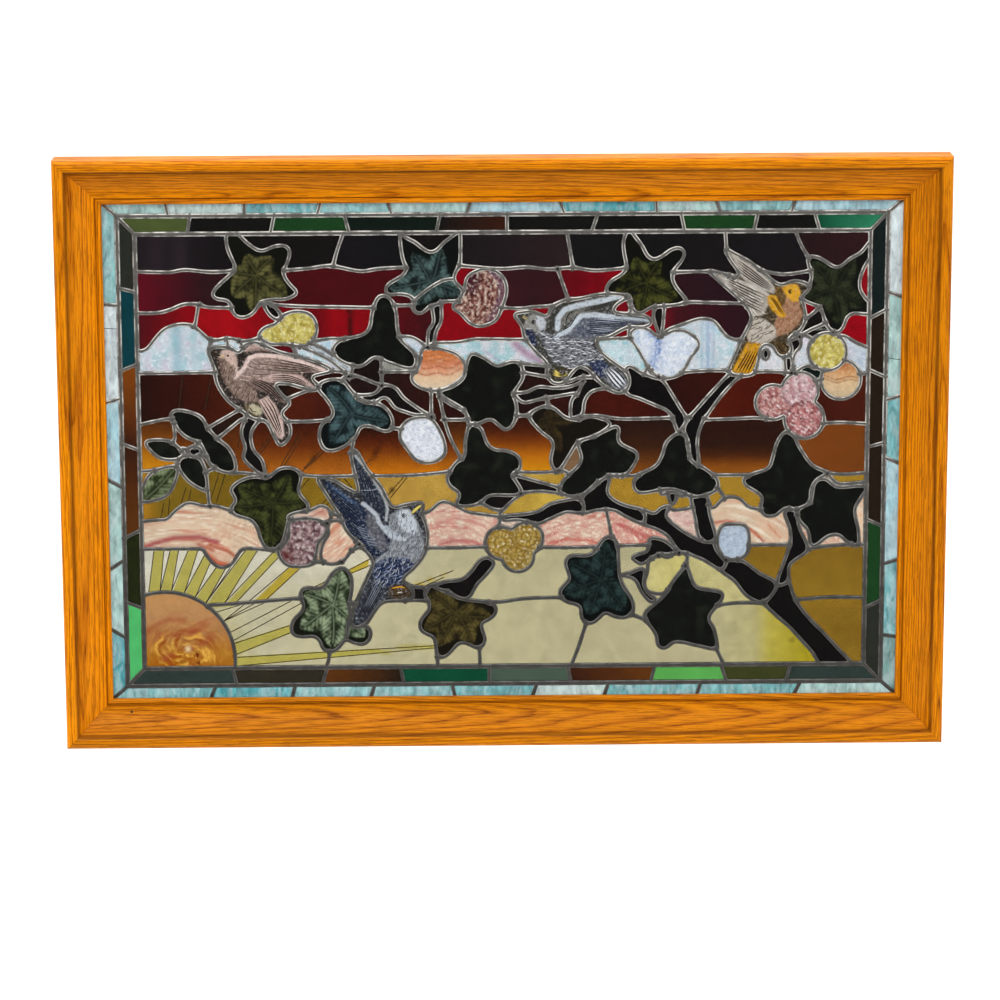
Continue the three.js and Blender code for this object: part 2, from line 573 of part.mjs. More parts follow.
// A ring of tiles, one body with the short leads across it, which stand a step above the glass.
function borderRing(name, outside, inside, crosses, finish) {
  const clear = lineHalf + GAP;
  const ring = (front, thickness) => {
    const whole = plate(rectangle(outside[0] - clear, outside[1] - clear), front, thickness);
    return whole.subtract(plate(rectangle(inside[0] + clear, inside[1] + clear), front - 1, thickness + 2));
  };
  const upright = (side, edge, inner) => crosses[side].map(([a, b]) => [[a, edge], [b, inner]]);
  const level = (side, edge, inner) => crosses[side].map(([a, b]) => [[edge, a], [inner, b]]);
  const corners = [[1, 1], [1, -1], [-1, 1], [-1, -1]].map(([sx, sz]) => [
    [sx * outside[0], sz * outside[1]],
    [sx * inside[0], sz * inside[1]],
  ]);
  const leads = union([
    ...upright('top', outside[1], inside[1]),
    ...upright('bottom', -outside[1], -inside[1]),
    ...level('left', -outside[0], -inside[0]),
    ...level('right', outside[0], inside[0]),
    ...corners,
  ].map((line) => plate(strip(line, CAME / 2), PANEL_FRONT - 2, STEP + 4)));
  const tiles = ring(PANEL_FRONT - 1, STEP + 1).subtract(leads);
  place(name, toGeometry(ring(PANEL_FRONT, CAME_DEPTH).subtract(tiles)), finish);
}
borderRing('outer_border', EDGE_LINE, OUTER_LINE, outerCrosses, TURQUOISE);
borderRing('inner_border', OUTER_LINE, INNER_LINE, innerCrosses, DARK_BORDER);

// ---------- leading and glass of the picture ----------
// Every pane of the picture, its edge the given distance from the middle of the lead round it.
// Taken from the top figure down, each figure hides what lies below it.
function paneSolids(clear, front, thickness) {
  const slab = (outlines, growth) => union(
    outlines.map((outline) => plate(offset(outline, growth), front, thickness)),
  );
  const holds = (solid, x, z) => {
    const probe = plate(rectangle(1, 1).map(([px, pz]) => [x + px, z + pz]), front, thickness);
    return solid.intersect(probe).volume() > 0;
  };
  const edge = clear + lineHalf - CAME / 2;
  const field = plate(rectangle(INNER_LINE[0] - edge, INNER_LINE[1] - edge), front, thickness);
  const bySize = (a, b) => b.volume() - a.volume();
  const found = [];
  let sky = field;
  for (const { name, outlines, finish, loose } of [...figures].reverse()) {
    const parts = slab(outlines, -clear).intersect(sky).decompose().sort(bySize);
    parts.forEach((solid, i) => found.push({ name: loose && i === 0 ? name : null, finish, solid }));
    sky = sky.subtract(slab(outlines, clear));
  }
  const strips = lines.map((line) => plate(strip(thin(line, false), clear), front, thickness));
  for (const solid of sky.subtract(union(strips)).decompose()) {
    const owner = skyPanes.find(([, , x, z]) => holds(solid, x, z));
    found.push({ name: owner ? owner[0] : null, finish: owner ? owner[1] : lead, solid });
  }
  return found.filter(({ solid }) => solid.volume() > SMALLEST_PANE * thickness);
}

// The leading is open where a loose pane sits. The small panes are one body with it, and only a
// step below the face of the lead.
const body = plate(
  rectangle(INNER_LINE[0] + lineHalf, INNER_LINE[1] + lineHalf),
  PANEL_FRONT,
  CAME_DEPTH,
);
const steps = paneSolids(CAME / 2, PANEL_FRONT - 1, STEP + 1).filter(({ name }) => !name);
const openings = paneSolids(CAME / 2, PANEL_FRONT - 1, CAME_DEPTH + 2).filter(({ name }) => name);
const cut = [...steps, ...openings].map(({ solid }) => solid);
place('leading', toGeometry(body.subtract(union(cut))), lead);

for (const { name, finish, solid } of paneSolids(CAME / 2 + GAP, GLASS_FRONT, GLASS)) {
  if (name) place(name, toGeometry(solid), finish);
}

export default window_;
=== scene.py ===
import math
import random

import bpy
import numpy as np
from mathutils import Matrix, Vector, noise
from mathutils.geometry import delaunay_2d_cdt


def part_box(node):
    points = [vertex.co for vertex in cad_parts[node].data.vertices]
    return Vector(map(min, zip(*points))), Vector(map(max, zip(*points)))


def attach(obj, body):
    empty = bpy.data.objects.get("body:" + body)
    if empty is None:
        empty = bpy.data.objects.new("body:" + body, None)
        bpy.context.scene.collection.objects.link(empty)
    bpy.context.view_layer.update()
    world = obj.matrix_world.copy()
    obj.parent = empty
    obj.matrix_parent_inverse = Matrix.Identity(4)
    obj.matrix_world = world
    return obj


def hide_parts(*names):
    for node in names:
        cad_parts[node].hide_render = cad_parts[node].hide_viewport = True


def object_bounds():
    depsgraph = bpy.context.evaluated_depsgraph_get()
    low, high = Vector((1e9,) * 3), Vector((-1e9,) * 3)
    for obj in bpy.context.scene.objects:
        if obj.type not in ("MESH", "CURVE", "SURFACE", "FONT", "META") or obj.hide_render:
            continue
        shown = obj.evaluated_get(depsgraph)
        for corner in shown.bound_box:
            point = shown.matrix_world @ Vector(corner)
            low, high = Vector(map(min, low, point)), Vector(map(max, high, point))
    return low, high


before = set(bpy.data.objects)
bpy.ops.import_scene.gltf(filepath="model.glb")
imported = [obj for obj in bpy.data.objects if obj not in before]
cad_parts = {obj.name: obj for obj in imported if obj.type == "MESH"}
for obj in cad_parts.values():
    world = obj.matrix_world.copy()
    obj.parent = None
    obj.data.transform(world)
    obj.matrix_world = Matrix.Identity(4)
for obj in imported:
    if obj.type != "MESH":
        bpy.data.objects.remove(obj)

cad_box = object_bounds()

# ---------------------------------------------------------------- frame
# Four lengths of a picture-type moulding in golden oak, mitred and glued at the corners, finished
# with a satin varnish. A rounded outer bead, a long scoop down to the glass and a thin rounded lip.
MM = 0.001
FACE = 60  # millimetres, here and wherever a size is a plain number
DEPTH = 48
BEAD = 6
BOARD_GAP = 0.15


def linear(hex_colour, alpha=1.0):
    """An sRGB hex colour as the linear values that the shaders take."""
    values = [int(hex_colour[i:i + 2], 16) / 255 for i in (1, 3, 5)]
    return tuple(v / 12.92 if v <= 0.04045 else ((v + 0.055) / 1.055) ** 2.4 for v in values) + (alpha,)


def add(tree, kind, feeds=None, **settings):
    """Adds a shader node, with its settings, and with plain values or links on its inputs."""
    made = tree.nodes.new("ShaderNode" + kind)
    for name, value in settings.items():
        setattr(made, name, value)
    for socket, value in (feeds or {}).items():
        if isinstance(value, bpy.types.NodeSocket):
            tree.links.new(value, made.inputs[socket])
        else:
            made.inputs[socket].default_value = value
    return made


def new_material(name):
    made = bpy.data.materials.new(name)
    made.use_nodes = True
    tree = made.node_tree
    return made, tree, tree.nodes["Principled BSDF"]


def set_ramp(ramp, stops):
    """Gives a colour ramp its stops: position and hex colour or grey value."""
    elements = ramp.color_ramp.elements
    while len(elements) > 1:
        elements.remove(elements[-1])
    for i, (position, colour) in enumerate(stops):
        stop = elements[0] if i == 0 else elements.new(position)
        stop.position = position
        stop.color = linear(colour) if isinstance(colour, str) else (colour, colour, colour, 1)
    return ramp.outputs["Color"]


def oak(name, turn, heart, slope, seed, board_light):
    """Golden oak, plain sawn and varnished: arched growth rings with rows of dark pores."""
    material, tree, shader = new_material(name)
    place = add(tree, "TexCoord").outputs["Object"]
    along = add(tree, "Mapping", {"Vector": place, "Rotation": (0, turn, 0), "Location": (0, 0, -heart)})
    # growth rings 3.2 mm apart about a heart that runs at a slight slope behind the face
    flat = add(tree, "Mapping", {"Vector": along.outputs[0], "Scale": (3, 30, 30),
                                 "Location": (seed, 0, seed)})
    drift = add(tree, "TexNoise", {"Vector": flat.outputs[0], "Scale": 1.0, "Detail": 3.0, "Roughness": 0.5})
    wobble = add(tree, "MapRange", {"Value": drift.outputs[0], 3: -0.006, 4: 0.006})
    parts = add(tree, "SeparateXYZ", {0: along.outputs[0]})
    across = add(tree, "Math", {0: parts.outputs["Z"], 1: wobble.outputs[0]}, operation="ADD")
    behind = add(tree, "Math", {0: parts.outputs["X"], 1: slope, 2: 0.024}, operation="MULTIPLY_ADD")
    behind = add(tree, "Math", {0: behind.outputs[0], 1: wobble.outputs[0]}, operation="ADD")
    heartwood = add(tree, "CombineXYZ", {"X": across.outputs[0], "Y": behind.outputs[0]})
    reach = add(tree, "VectorMath", {0: heartwood.outputs[0]}, operation="LENGTH")
    rings = add(tree, "Math", {0: reach.outputs["Value"], 1: 312.0}, operation="MULTIPLY")
    rings = add(tree, "Math", {0: rings.outputs[0]}, operation="FRACT")
    figure = set_ramp(add(tree, "ValToRGB", {"Fac": rings.outputs[0]}), [
        (0.0, "#de8004"), (0.3, "#ee9006"), (0.62, "#e98b04"), (0.85, "#da7c01"), (0.97, "#ca6f00")])
    # pores of the early wood, a few tenths of a millimetre wide and 5 to 15 mm long, drawn 1.1 mm wide
    fine = add(tree, "Mapping", {"Vector": along.outputs[0], "Scale": (30, 880, 880)})
    pores = add(tree, "TexNoise", {"Vector": fine.outputs[0], "Scale": 1.0, "Detail": 2.0, "Roughness": 0.65})
    ticks = set_ramp(add(tree, "ValToRGB", {"Fac": pores.outputs[0]}), [(0.43, 1.0), (0.49, 0.0)])
    early = set_ramp(add(tree, "ValToRGB", {"Fac": rings.outputs[0]}), [
        (0.0, 0.6), (0.15, 0.15), (0.6, 0.1), (0.8, 0.5), (0.92, 0.85)])
    solid = add(tree, "MapRange", {"Value": ticks, 3: 0.25, 4: 1.0})
    where = add(tree, "Math", {0: solid.outputs[0], 1: early}, operation="MULTIPLY")
    stray = add(tree, "Math", {0: ticks, 1: 0.5}, operation="MULTIPLY")
    where = add(tree, "Math", {0: where.outputs[0], 1: stray.outputs[0]}, operation="MAXIMUM")
    dark = add(tree, "Mix", {"Factor": where.outputs[0], "A": figure, "B": linear("#743600")},
               data_type="RGBA")
    # the stain lies unevenly over each board, and each whole board is set lighter or darker: painted light
    # and shade for how that board faces the light
    patch = add(tree, "TexNoise", {"Vector": along.outputs[0], "Scale": 6.0, "Detail": 2.0})
    tone = set_ramp(add(tree, "ValToRGB", {"Fac": patch.outputs[0]}), [(0.3, 0.84 * board_light), (0.7, board_light)])
    toned = add(tree, "Mix", {"Factor": 1.0, "A": dark.outputs["Result"], "B": tone},
                data_type="RGBA", blend_type="MULTIPLY")
    # painted shade in the two quirks of the moulding, as if they lay in shadow, together with the stain and
    # dirt gathered there
    quirk = add(tree, "Attribute", attribute_name="quirk")
    deep = add(tree, "Math", {0: quirk.outputs["Fac"], 1: 0.6}, operation="MULTIPLY")
    toned = add(tree, "Mix", {"Factor": deep.outputs[0], "A": toned.outputs["Result"],
                              "B": linear("#5a2e04")}, data_type="RGBA")
    tree.links.new(toned.outputs["Result"], shader.inputs["Base Color"])
    gloss = set_ramp(add(tree, "ValToRGB", {"Fac": ticks}), [(0.0, 0.4), (1.0, 0.6)])
    tree.links.new(gloss, shader.inputs["Roughness"])
    relief = add(tree, "Bump", {"Height": where.outputs[0], "Strength": 0.3, "Distance": 0.0004}, invert=True)
    tree.links.new(relief.outputs[0], shader.inputs["Normal"])
    shader.inputs["IOR"].default_value = 1.5
    shader.inputs["Specular IOR Level"].default_value = 0.1
    return material


def outline_of_moulding():
    """Across the moulding: distance in from the outer edge, and depth behind the front."""
    def arc(cu, cy, radius, start, end, steps):
        angles = [math.radians(start + (end - start) * i / steps) for i in range(steps + 1)]
        return [(cu + radius * math.cos(a), cy - radius * math.sin(a)) for a in angles]

    scoop = [(17 + 34 * t, 6.5 + 20.5 * math.sin(math.pi / 2 * t) ** 0.85)
             for t in [i / 18 for i in range(19)]]
    return ([(0, DEPTH)] + arc(BEAD, BEAD, BEAD, 180, 90, 7) + [(10, 0.1), (13, 0.9), (15, 2.0), (15.6, 3.0)]
            + [(16.2, 5.6)] + scoop + [(52, 28.6), (52.4, 30.2)] + arc(FACE - 3.6, 32, 3.6, 150, 0, 8)
            + [(FACE, 36), (51.5, 36), (51.5, DEPTH)])


def deselect():
    bpy.ops.object.select_all(action="DESELECT")


def piece(name, vertices, faces, material):
    """A mesh object at the origin, selected and active."""
    mesh = bpy.data.meshes.new(name)
    mesh.from_pydata(vertices, [], faces)
    made = bpy.data.objects.new(name, mesh)
    bpy.context.collection.objects.link(made)
    mesh.materials.append(material)
    deselect()
    made.select_set(True)
    bpy.context.view_layer.objects.active = made
    return made


def moulding(node, length, turn, material):
    """The section is drawn, pulled out to its length, cut to 45 degrees at both ends and turned."""
    low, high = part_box(node)
    front = low.y
    half = length / 2
    section = [(-half * MM, front + y * MM, -u * MM) for u, y in outline_of_moulding()]
    made = piece(node.replace("_", "_oak_"), section, [list(range(len(section)))], material)
    bpy.ops.object.mode_set(mode="EDIT")
    bpy.ops.mesh.select_all(action="SELECT")
    bpy.ops.mesh.extrude_region_move(TRANSFORM_OT_translate={"value": (length * MM, 0, 0)})
    bpy.ops.mesh.select_all(action="SELECT")
    bpy.ops.mesh.normals_make_consistent(inside=False)
    for side in (-1, 1):
        bpy.ops.mesh.select_all(action="SELECT")
        bpy.ops.mesh.bisect(plane_co=(side * (half - BOARD_GAP) * MM, 0, 0), plane_no=(side, 0, -1),
                            use_fill=True, clear_outer=True)
    bpy.ops.object.mode_set(mode="OBJECT")
    # marks the two quirks of the moulding, which get painted shade in the oak
    quirk = made.data.attributes.new("quirk", "FLOAT", "POINT")
    for vertex in made.data.vertices:
        u = -vertex.co.z / MM
        quirk.data[vertex.index].value = 1.0 if 14.6 < u < 17.1 or 51.0 < u < 52.6 else 0.0
    made.data.transform(Matrix.Rotation(turn, 4, "Y"))
    bpy.ops.object.shade_smooth_by_angle(angle=math.radians(32))
    return made


width = (cad_box[1] - cad_box[0]).x / MM
height = (cad_box[1] - cad_box[0]).z / MM
middle = (cad_box[1] + cad_box[0]).z / 2
# the last number of each board is its painted light level, standing for how that board faces the light:
# lightest on the left stile, darkest on the bottom rail
for node, length, turn, x, z, heart, slope, board_light in (
        ("top_rail", width, 0, 0, 0, -0.052, 0.02, 1.06),
        ("bottom_rail", width, math.pi, 0, -height, middle - 0.352, 0.034, 0.86),
        ("left_stile", height, -math.pi / 2, -width / 2, middle / MM, 0.553, -0.012, 1.15),
        ("right_stile", height, math.pi / 2, width / 2, middle / MM, -0.568, 0.016, 0.98)):
    grain = 0 if node.endswith("rail") else math.pi / 2
    board = moulding(node, length, turn, oak("oak_" + node, grain, heart, slope, len(node) * 0.37, board_light))
    board.data.transform(Matrix.Translation((x * MM, 0, z * MM)))
    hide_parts(node)
    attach(board, "root")

# an old nail hole in the bottom rail, stopped with dark wax flush with the scoop
PLUG_RADIUS = 1.8
PLUG_DEPTH = 2.0
PLUG_PLACE = (-491, -0.14, -732.2)
SCOOP_TILT = 75.5  # degrees, the slope of the scoop where the plug is
wax, tree, shader = new_material("dark_wax_filler")
place = add(tree, "TexCoord").outputs["Object"]
# crumbs of half a millimetre
crumbs = add(tree, "TexNoise", {"Vector": place, "Scale": 1800.0, "Detail": 2.0})
colour = set_ramp(add(tree, "ValToRGB", {"Fac": crumbs.outputs[0]}), [(0.3, "#2c1504"), (0.7, "#4a2608")])
tree.links.new(colour, shader.inputs["Base Color"])
shader.inputs["Roughness"].default_value = 0.7
shader.inputs["IOR"].default_value = 1.45
deselect()
bpy.ops.mesh.primitive_cylinder_add(vertices=16, radius=PLUG_RADIUS * MM, depth=PLUG_DEPTH * MM,
                                    location=[v * MM for v in PLUG_PLACE],
                                    rotation=(math.radians(SCOOP_TILT), 0, 0))
plug = bpy.context.object
bpy.ops.object.transform_apply(location=True, rotation=True, scale=True)
plug.name = "nail_hole_filler"
plug.data.materials.append(wax)
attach(plug, "root")


# ---------------------------------------------------------------- cartoon
# The full-size drawing that the glass is cut to and the lead is laid on: millimetres from the
# middle of the panel, x to the right and z up. Shapes laid later lie over the earlier ones.
FIELD = (473.5, 288.5)
EDGE_OF_PANEL = (522, 335)
OUTER_LINE = (496, 312)
shapes = []
lines = []


def curve(points, closed, step=3.5):
    """A smooth line through the points, clipped to the field."""
    pts = [Vector(p) for p in points]
    count = len(pts)
    made = []
    for i in range(count if closed else count - 1):
        if closed:
            a, b, c, d = (pts[(i + k) % count] for k in (-1, 0, 1, 2))
        else:
            a, b, c, d = pts[max(i - 1, 0)], pts[i], pts[i + 1], pts[min(i + 2, count - 1)]
        parts = max(1, round((c - b).length / step))
        for k in range(parts):
            t = k / parts
            made.append(0.5 * (2 * b + (c - a) * t + (2 * a - 5 * b + 4 * c - d) * t * t
                               + (3 * b - a - 3 * c + d) * t ** 3))
    if not closed:
        made.append(pts[-1])
    return [tuple(math.copysign(limit, v) if abs(v) > limit - 1.6 else v for v, limit in zip(p, FIELD))
            for p in made]


def lay(name, outlines):
    shapes.append((name, [curve(outline, True) for outline in outlines]))


def rule(*points, over=False):
    lines.append((curve(points, False), over))


def blade(tail, tip, width):
    """A pointed leaf."""
    (x0, z0), (x1, z1) = tail, tip
    length = math.hypot(x1 - x0, z1 - z0)
    ax, az = (z0 - z1) / length * width / 2, (x1 - x0) / length * width / 2
    made = []
    for sign in (1, -1):
        for t in (0, 0.25, 0.6):
            along = t if sign > 0 else 1 - t
            swell = math.sin(math.pi * t) * sign
            made.append((x0 + (x1 - x0) * along + ax * swell, z0 + (z1 - z0) * along + az * swell))
    return made


def disc(x, z, rx, rz=None, sides=12):
    turns = [2 * math.pi * i / sides for i in range(sides)]
    return [(x + rx * math.cos(a), z + (rz or rx) * math.sin(a)) for a in turns]


lay("trunk_foot", [
    [(341, -204), (350, -190), (358, -180), (373, -176), (379, -192), (387, -208), (401, -226),
     (421, -247), (440, -268), (460, -294), (422, -294), (406, -273), (391, -256), (375, -238),
     (356, -221)],
])
lay("trunk_middle", [
    [(284, -160), (291, -147), (312, -148), (335, -165), (358, -180), (341, -204), (318, -195), (303, -176)],
])
lay("trunk_top", [
    [(182, -80), (197, -84), (204, -77), (217, -74), (212, -88), (232, -106), (255, -119), (273, -119),
     (278, -133), (291, -147), (284, -160), (262, -147), (240, -138), (228, -136), (216, -116), (200, -105),
     (182, -97)],
])
lay("bough_right", [
    [(101, -63), (118, -47), (131, -33), (138, -37), (135, -55), (145, -66), (160, -73), (182, -80),
     (182, -97), (160, -88), (143, -79), (120, -79), (103, -82)],
])
lay("bough_left", [
    [(100, -64), (76, -66), (58, -71), (44, -80), (20, -84), (-2, -86), (0, -92), (20, -91), (42, -97),
     (62, -89), (82, -81), (103, -82)],
])
lay("upright_bough", [
    [(367, -82), (380, -78), (384, -90), (387, -105), (394, -120), (399, -134), (388, -143), (374, -155),
     (373, -176), (358, -180), (366, -153), (374, -128), (375, -110), (370, -94)],
])
lay("short_bough", [
    [(245, -60), (265, -60), (269, -85), (277, -119), (257, -119), (250, -90)],
])
lay("fork_left", [
    [(160, 112), (178, 104), (195, 97), (206, 94), (218, 76), (230, 56), (238, 42), (232, 30), (227, 24),
     (220, 42), (213, 53), (198, 60), (178, 69), (158, 79)],
])
lay("fork_right", [
    [(240, 42), (250, 54), (262, 68), (280, 88), (297, 104), (310, 101), (300, 92), (284, 74), (268, 52),
     (257, 34), (252, 12), (254, -19), (244, -19), (241, 5), (234, 26)],
])

lay("ivy_leaf_1", [
    [(-355, 288), (-355, 272), (-350, 258), (-345, 245), (-351, 236), (-362, 226), (-372, 216),
     (-375, 209), (-370, 204), (-357, 202), (-352, 197), (-349, 186), (-342, 180), (-332, 180),
     (-322, 186), (-315, 196), (-308, 201), (-296, 203), (-282, 203), (-271, 207), (-266, 212),
     (-273, 220), (-280, 229), (-283, 238), (-279, 248), (-275, 260), (-275, 268), (-282, 273),
     (-294, 272), (-304, 268), (-312, 266), (-322, 271), (-333, 280), (-341, 288)],
])
lay("ivy_leaf_2", [
    [(-132, 290), (-132, 272), (-129, 254), (-125, 242), (-129, 234), (-138, 228), (-148, 222),
     (-152, 214), (-148, 208), (-136, 209), (-122, 207), (-115, 200), (-117, 190), (-112, 184),
     (-104, 184), (-97, 191), (-86, 195), (-74, 199), (-60, 199), (-51, 204), (-50, 212), (-56, 218),
     (-63, 226), (-62, 236), (-56, 247), (-55, 265), (-56, 290), (-66, 283), (-76, 276), (-84, 267),
     (-93, 263), (-102, 267), (-113, 276), (-126, 283)],
])
lay("ivy_leaf_3", [
    [(160, 290), (155, 276), (156, 260), (159, 243), (153, 233), (140, 225), (133, 215), (135, 207),
     (150, 203), (163, 205), (164, 192), (172, 183), (181, 183), (190, 189), (208, 191), (226, 193),
     (237, 197), (231, 206), (223, 216), (218, 228), (222, 240), (230, 250), (234, 260), (228, 267),
     (217, 265), (206, 257), (195, 252), (186, 257), (179, 270), (170, 282), (164, 290)],
])
lay("ivy_leaf_4", [
    [(394, 254), (394, 244), (398, 232), (397, 222), (393, 212), (386, 206), (386, 199), (398, 193),
     (408, 189), (413, 181), (417, 168), (424, 158), (433, 155), (440, 162), (445, 175), (454, 180),
     (474, 179), (474, 192), (468, 200), (461, 212), (461, 226), (466, 240), (474, 256), (474, 275),
     (462, 260), (448, 252), (436, 242), (427, 241), (416, 248), (405, 254)],
])
lay("ivy_leaf_5", [
    [(-238, 92), (-226, 97), (-209, 96), (-197, 82), (-183, 68), (-165, 66), (-151, 57), (-144, 42),
     (-147, 30), (-158, 29), (-172, 35), (-186, 34), (-192, 22), (-205, 10), (-222, 3), (-234, 6),
     (-240, 22), (-236, 38), (-223, 48), (-222, 58), (-230, 72), (-240, 84)],
])
lay("ivy_leaf_6", [
    [(-283, -19), (-293, -21), (-300, -27), (-308, -31), (-322, -31), (-336, -33), (-348, -39),
     (-356, -48), (-351, -58), (-350, -65), (-356, -71), (-354, -80), (-342, -85), (-330, -89),
     (-322, -100), (-319, -112), (-314, -123), (-305, -129), (-295, -127), (-289, -117), (-285, -104),
     (-282, -92), (-276, -84), (-264, -79), (-255, -75), (-257, -66), (-265, -57), (-268, -48),
     (-265, -38), (-264, -28), (-272, -21)],
])
lay("ivy_leaf_7", [
    [(-222, -158), (-213, -154), (-205, -158), (-200, -169), (-200, -185), (-203, -200), (-202, -213),
     (-196, -226), (-186, -231), (-177, -237), (-176, -248), (-184, -257), (-197, -256), (-209, -251),
     (-216, -260), (-226, -267), (-238, -264), (-243, -252), (-251, -246), (-264, -247), (-277, -244),
     (-280, -234), (-276, -223), (-266, -213), (-263, -204), (-267, -194), (-266, -184), (-258, -180),
     (-246, -182), (-237, -179), (-230, -169)],
])
lay("ivy_leaf_8", [
    [(-98, -179), (-88, -179), (-76, -186), (-64, -194), (-50, -198), (-34, -200), (-20, -202),
     (-11, -208), (-12, -218), (-20, -225), (-30, -231), (-28, -242), (-25, -252), (-29, -261),
     (-38, -263), (-50, -257), (-60, -257), (-68, -266), (-78, -275), (-88, -275), (-90, -262),
     (-92, -250), (-100, -245), (-109, -240), (-111, -229), (-106, -220), (-99, -212), (-99, -202),
     (-104, -191)],
])
lay("ivy_leaf_9", [
    [(80, -150), (83, -142), (92, -139), (106, -140), (116, -137), (123, -127), (130, -118), (138, -114),
     (145, -118), (149, -130), (150, -146), (151, -164), (156, -180), (165, -194), (170, -207),
     (168, -218), (158, -224), (144, -222), (133, -217), (125, -224), (116, -231), (106, -230),
     (101, -221), (100, -209), (93, -205), (82, -202), (75, -196), (73, -187), (80, -178), (86, -171),
     (83, -160)],
])
lay("ivy_leaf_10", [
    [(33, 48), (52, 60), (66, 57), (79, 46), (94, 42), (116, 46), (139, 36), (118, 20), (97, 12), (86, -4),
     (70, -27), (61, -12), (64, 12), (47, 28)],
])
lay("dark_leaf_1", [
    [(-160, 206), (-166, 196), (-170, 182), (-172, 168), (-178, 158), (-192, 153), (-208, 150),
     (-218, 143), (-221, 134), (-215, 125), (-203, 118), (-188, 114), (-178, 118), (-170, 125),
     (-162, 126), (-154, 121), (-142, 117), (-128, 112), (-117, 112), (-113, 120), (-114, 130),
     (-124, 140), (-133, 150), (-137, 164), (-138, 182), (-142, 197), (-150, 206)],
])
lay("dark_leaf_2", [
    [(-42, 130), (-26, 125), (-8, 114), (8, 119), (22, 117), (25, 98), (14, 78), (17, 60), (15, 42),
     (3, 29), (-16, 43), (-32, 38), (-44, 36), (-52, 56), (-84, 78), (-66, 87), (-52, 98), (-48, 115)],
])
lay("dark_leaf_3", [
    [(-44, 36), (-30, 32), (-22, 12), (-12, 3), (6, 1), (20, -8), (21, -24), (12, -32), (22, -56),
     (-18, -58), (-30, -68), (-46, -72), (-62, -70), (-58, -56), (-70, -45), (-74, -34), (-64, -16),
     (-51, -4), (-50, 14)],
])
lay("dark_leaf_4", [
    [(148, 33), (150, 12), (173, -2), (172, -14), (158, -32), (138, -33), (122, -42), (98, -60),
     (72, -54), (80, -36), (98, -18), (101, -6), (97, 12), (118, 20)],
])
lay("dark_leaf_5", [
    [(228, 24), (238, 18), (240, 2), (245, -14), (262, -24), (278, -38), (278, -52), (262, -60),
     (244, -61), (230, -54), (214, -51), (178, -56), (169, -45), (176, -32), (198, -20), (207, -4),
     (212, 12)],
])
lay("dark_leaf_6", [
    [(366, 24), (378, 22), (384, 6), (402, -20), (422, -31), (408, -40), (401, -54), (400, -70),
     (384, -80), (368, -78), (354, -88), (340, -87), (335, -76), (337, -62), (316, -47), (313, -38),
     (326, -31), (345, -24), (351, -8), (356, 10)],
])
lay("dark_leaf_7", [
    [(406, -44), (420, -39), (436, -50), (472, -50), (460, -76), (460, -90), (464, -108), (464, -128),
     (450, -124), (438, -114), (424, -116), (410, -127), (402, -128), (398, -108), (386, -94),
     (384, -80), (400, -70)],
])
lay("dark_leaf_8", [
    [(238, -154), (246, -172), (254, -184), (284, -190), (286, -200), (269, -224), (276, -240),
     (279, -266), (256, -263), (226, -257), (212, -266), (202, -262), (199, -246), (184, -222),
     (196, -207), (210, -194), (222, -174)],
])
lay("sprig_1", [blade((-466, 15), (-414, -4), 26)])
lay("sprig_2", [[(-425, -13), (-417, -3), (-404, -1), (-394, -8), (-388, -25), (-387, -48), (-400, -44),
                 (-414, -33)]])
lay("sprig_3", [
    [(-432, 52), (-424, 58), (-406, 55), (-392, 48), (-384, 34), (-372, 20), (-358, 8), (-350, -8),
     (-350, -24), (-366, -24), (-382, -14), (-388, 0), (-395, 14), (-412, 22), (-424, 34)],
])
lay("sprig_4", [blade((-426, -17), (-472, -63), 36)])

lay("plum", [
    [(-30, 240), (-15, 240), (-2, 232), (4, 219), (3, 204), (-2, 190), (-8, 176), (-18, 169), (-32, 166),
     (-44, 171), (-54, 182), (-66, 192), (-56, 202), (-50, 216), (-46, 231)],
])
lay("pear", [
    [(-316, 155), (-308, 166), (-294, 171), (-284, 182), (-268, 187), (-251, 184), (-242, 172),
     (-242, 157), (-250, 145), (-263, 141), (-280, 144), (-302, 145)],
])
lay("peach", [
    [(-106, 135), (-96, 139), (-78, 136), (-60, 129), (-50, 116), (-52, 101), (-66, 89), (-84, 82),
     (-104, 84), (-118, 94), (-118, 104), (-110, 112)],
])
lay("quince", [
    [(164, 153), (169, 161), (180, 163), (190, 159), (198, 152), (206, 152), (218, 158), (231, 159),
     (243, 154), (252, 146), (253, 137), (246, 128), (240, 118), (236, 110), (229, 101), (219, 97),
     (208, 96), (198, 100), (189, 109), (182, 120), (176, 132), (169, 142)],
])
lay("orange", [disc(438, 93, 26)])
lay("lime", [disc(420, 130, 25)])
lay("berries", [disc(385, 79, 24), disc(350, 63.5, 23), disc(391, 41, 26)])
lay("blossom", [
    [(-134, 29), (-127, 41), (-113, 46), (-96, 45), (-86, 34), (-78, 16), (-76, -1), (-86, -11),
     (-102, -14), (-116, -9), (-125, 4), (-134, 16)],
])
lay("pink_nugget", [
    [(-283, -86), (-274, -80), (-252, -76), (-238, -70), (-227, -77), (-226, -88), (-236, -94), (-270, -90)],
])
lay("plum_nugget", [
    [(-296, -129), (-284, -118), (-281, -103), (-280, -91), (-262, -87), (-244, -89), (-232, -98),
     (-233, -108), (-243, -120), (-246, -136), (-252, -149), (-272, -152), (-288, -147)],
])
lay("shell_nugget", [
    [(-240, -136), (-236, -120), (-229, -108), (-231, -94), (-218, -90), (-208, -94), (-201, -108),
     (-192, -122), (-200, -131), (-210, -144), (-224, -149), (-236, -146)],
])
lay("roundels", [disc(-3, -122, 22), disc(29, -116, 22), disc(18, -140, 21)])
lay("oval_nugget", [
    [(281, -110), (287, -100), (301, -99), (314, -100), (320, -108), (321, -123), (319, -137), (311, -145),
     (299, -147), (288, -145), (282, -135), (279, -122)],
])
lay("sun", [disc(-445, -278, 91, 93, 24)])
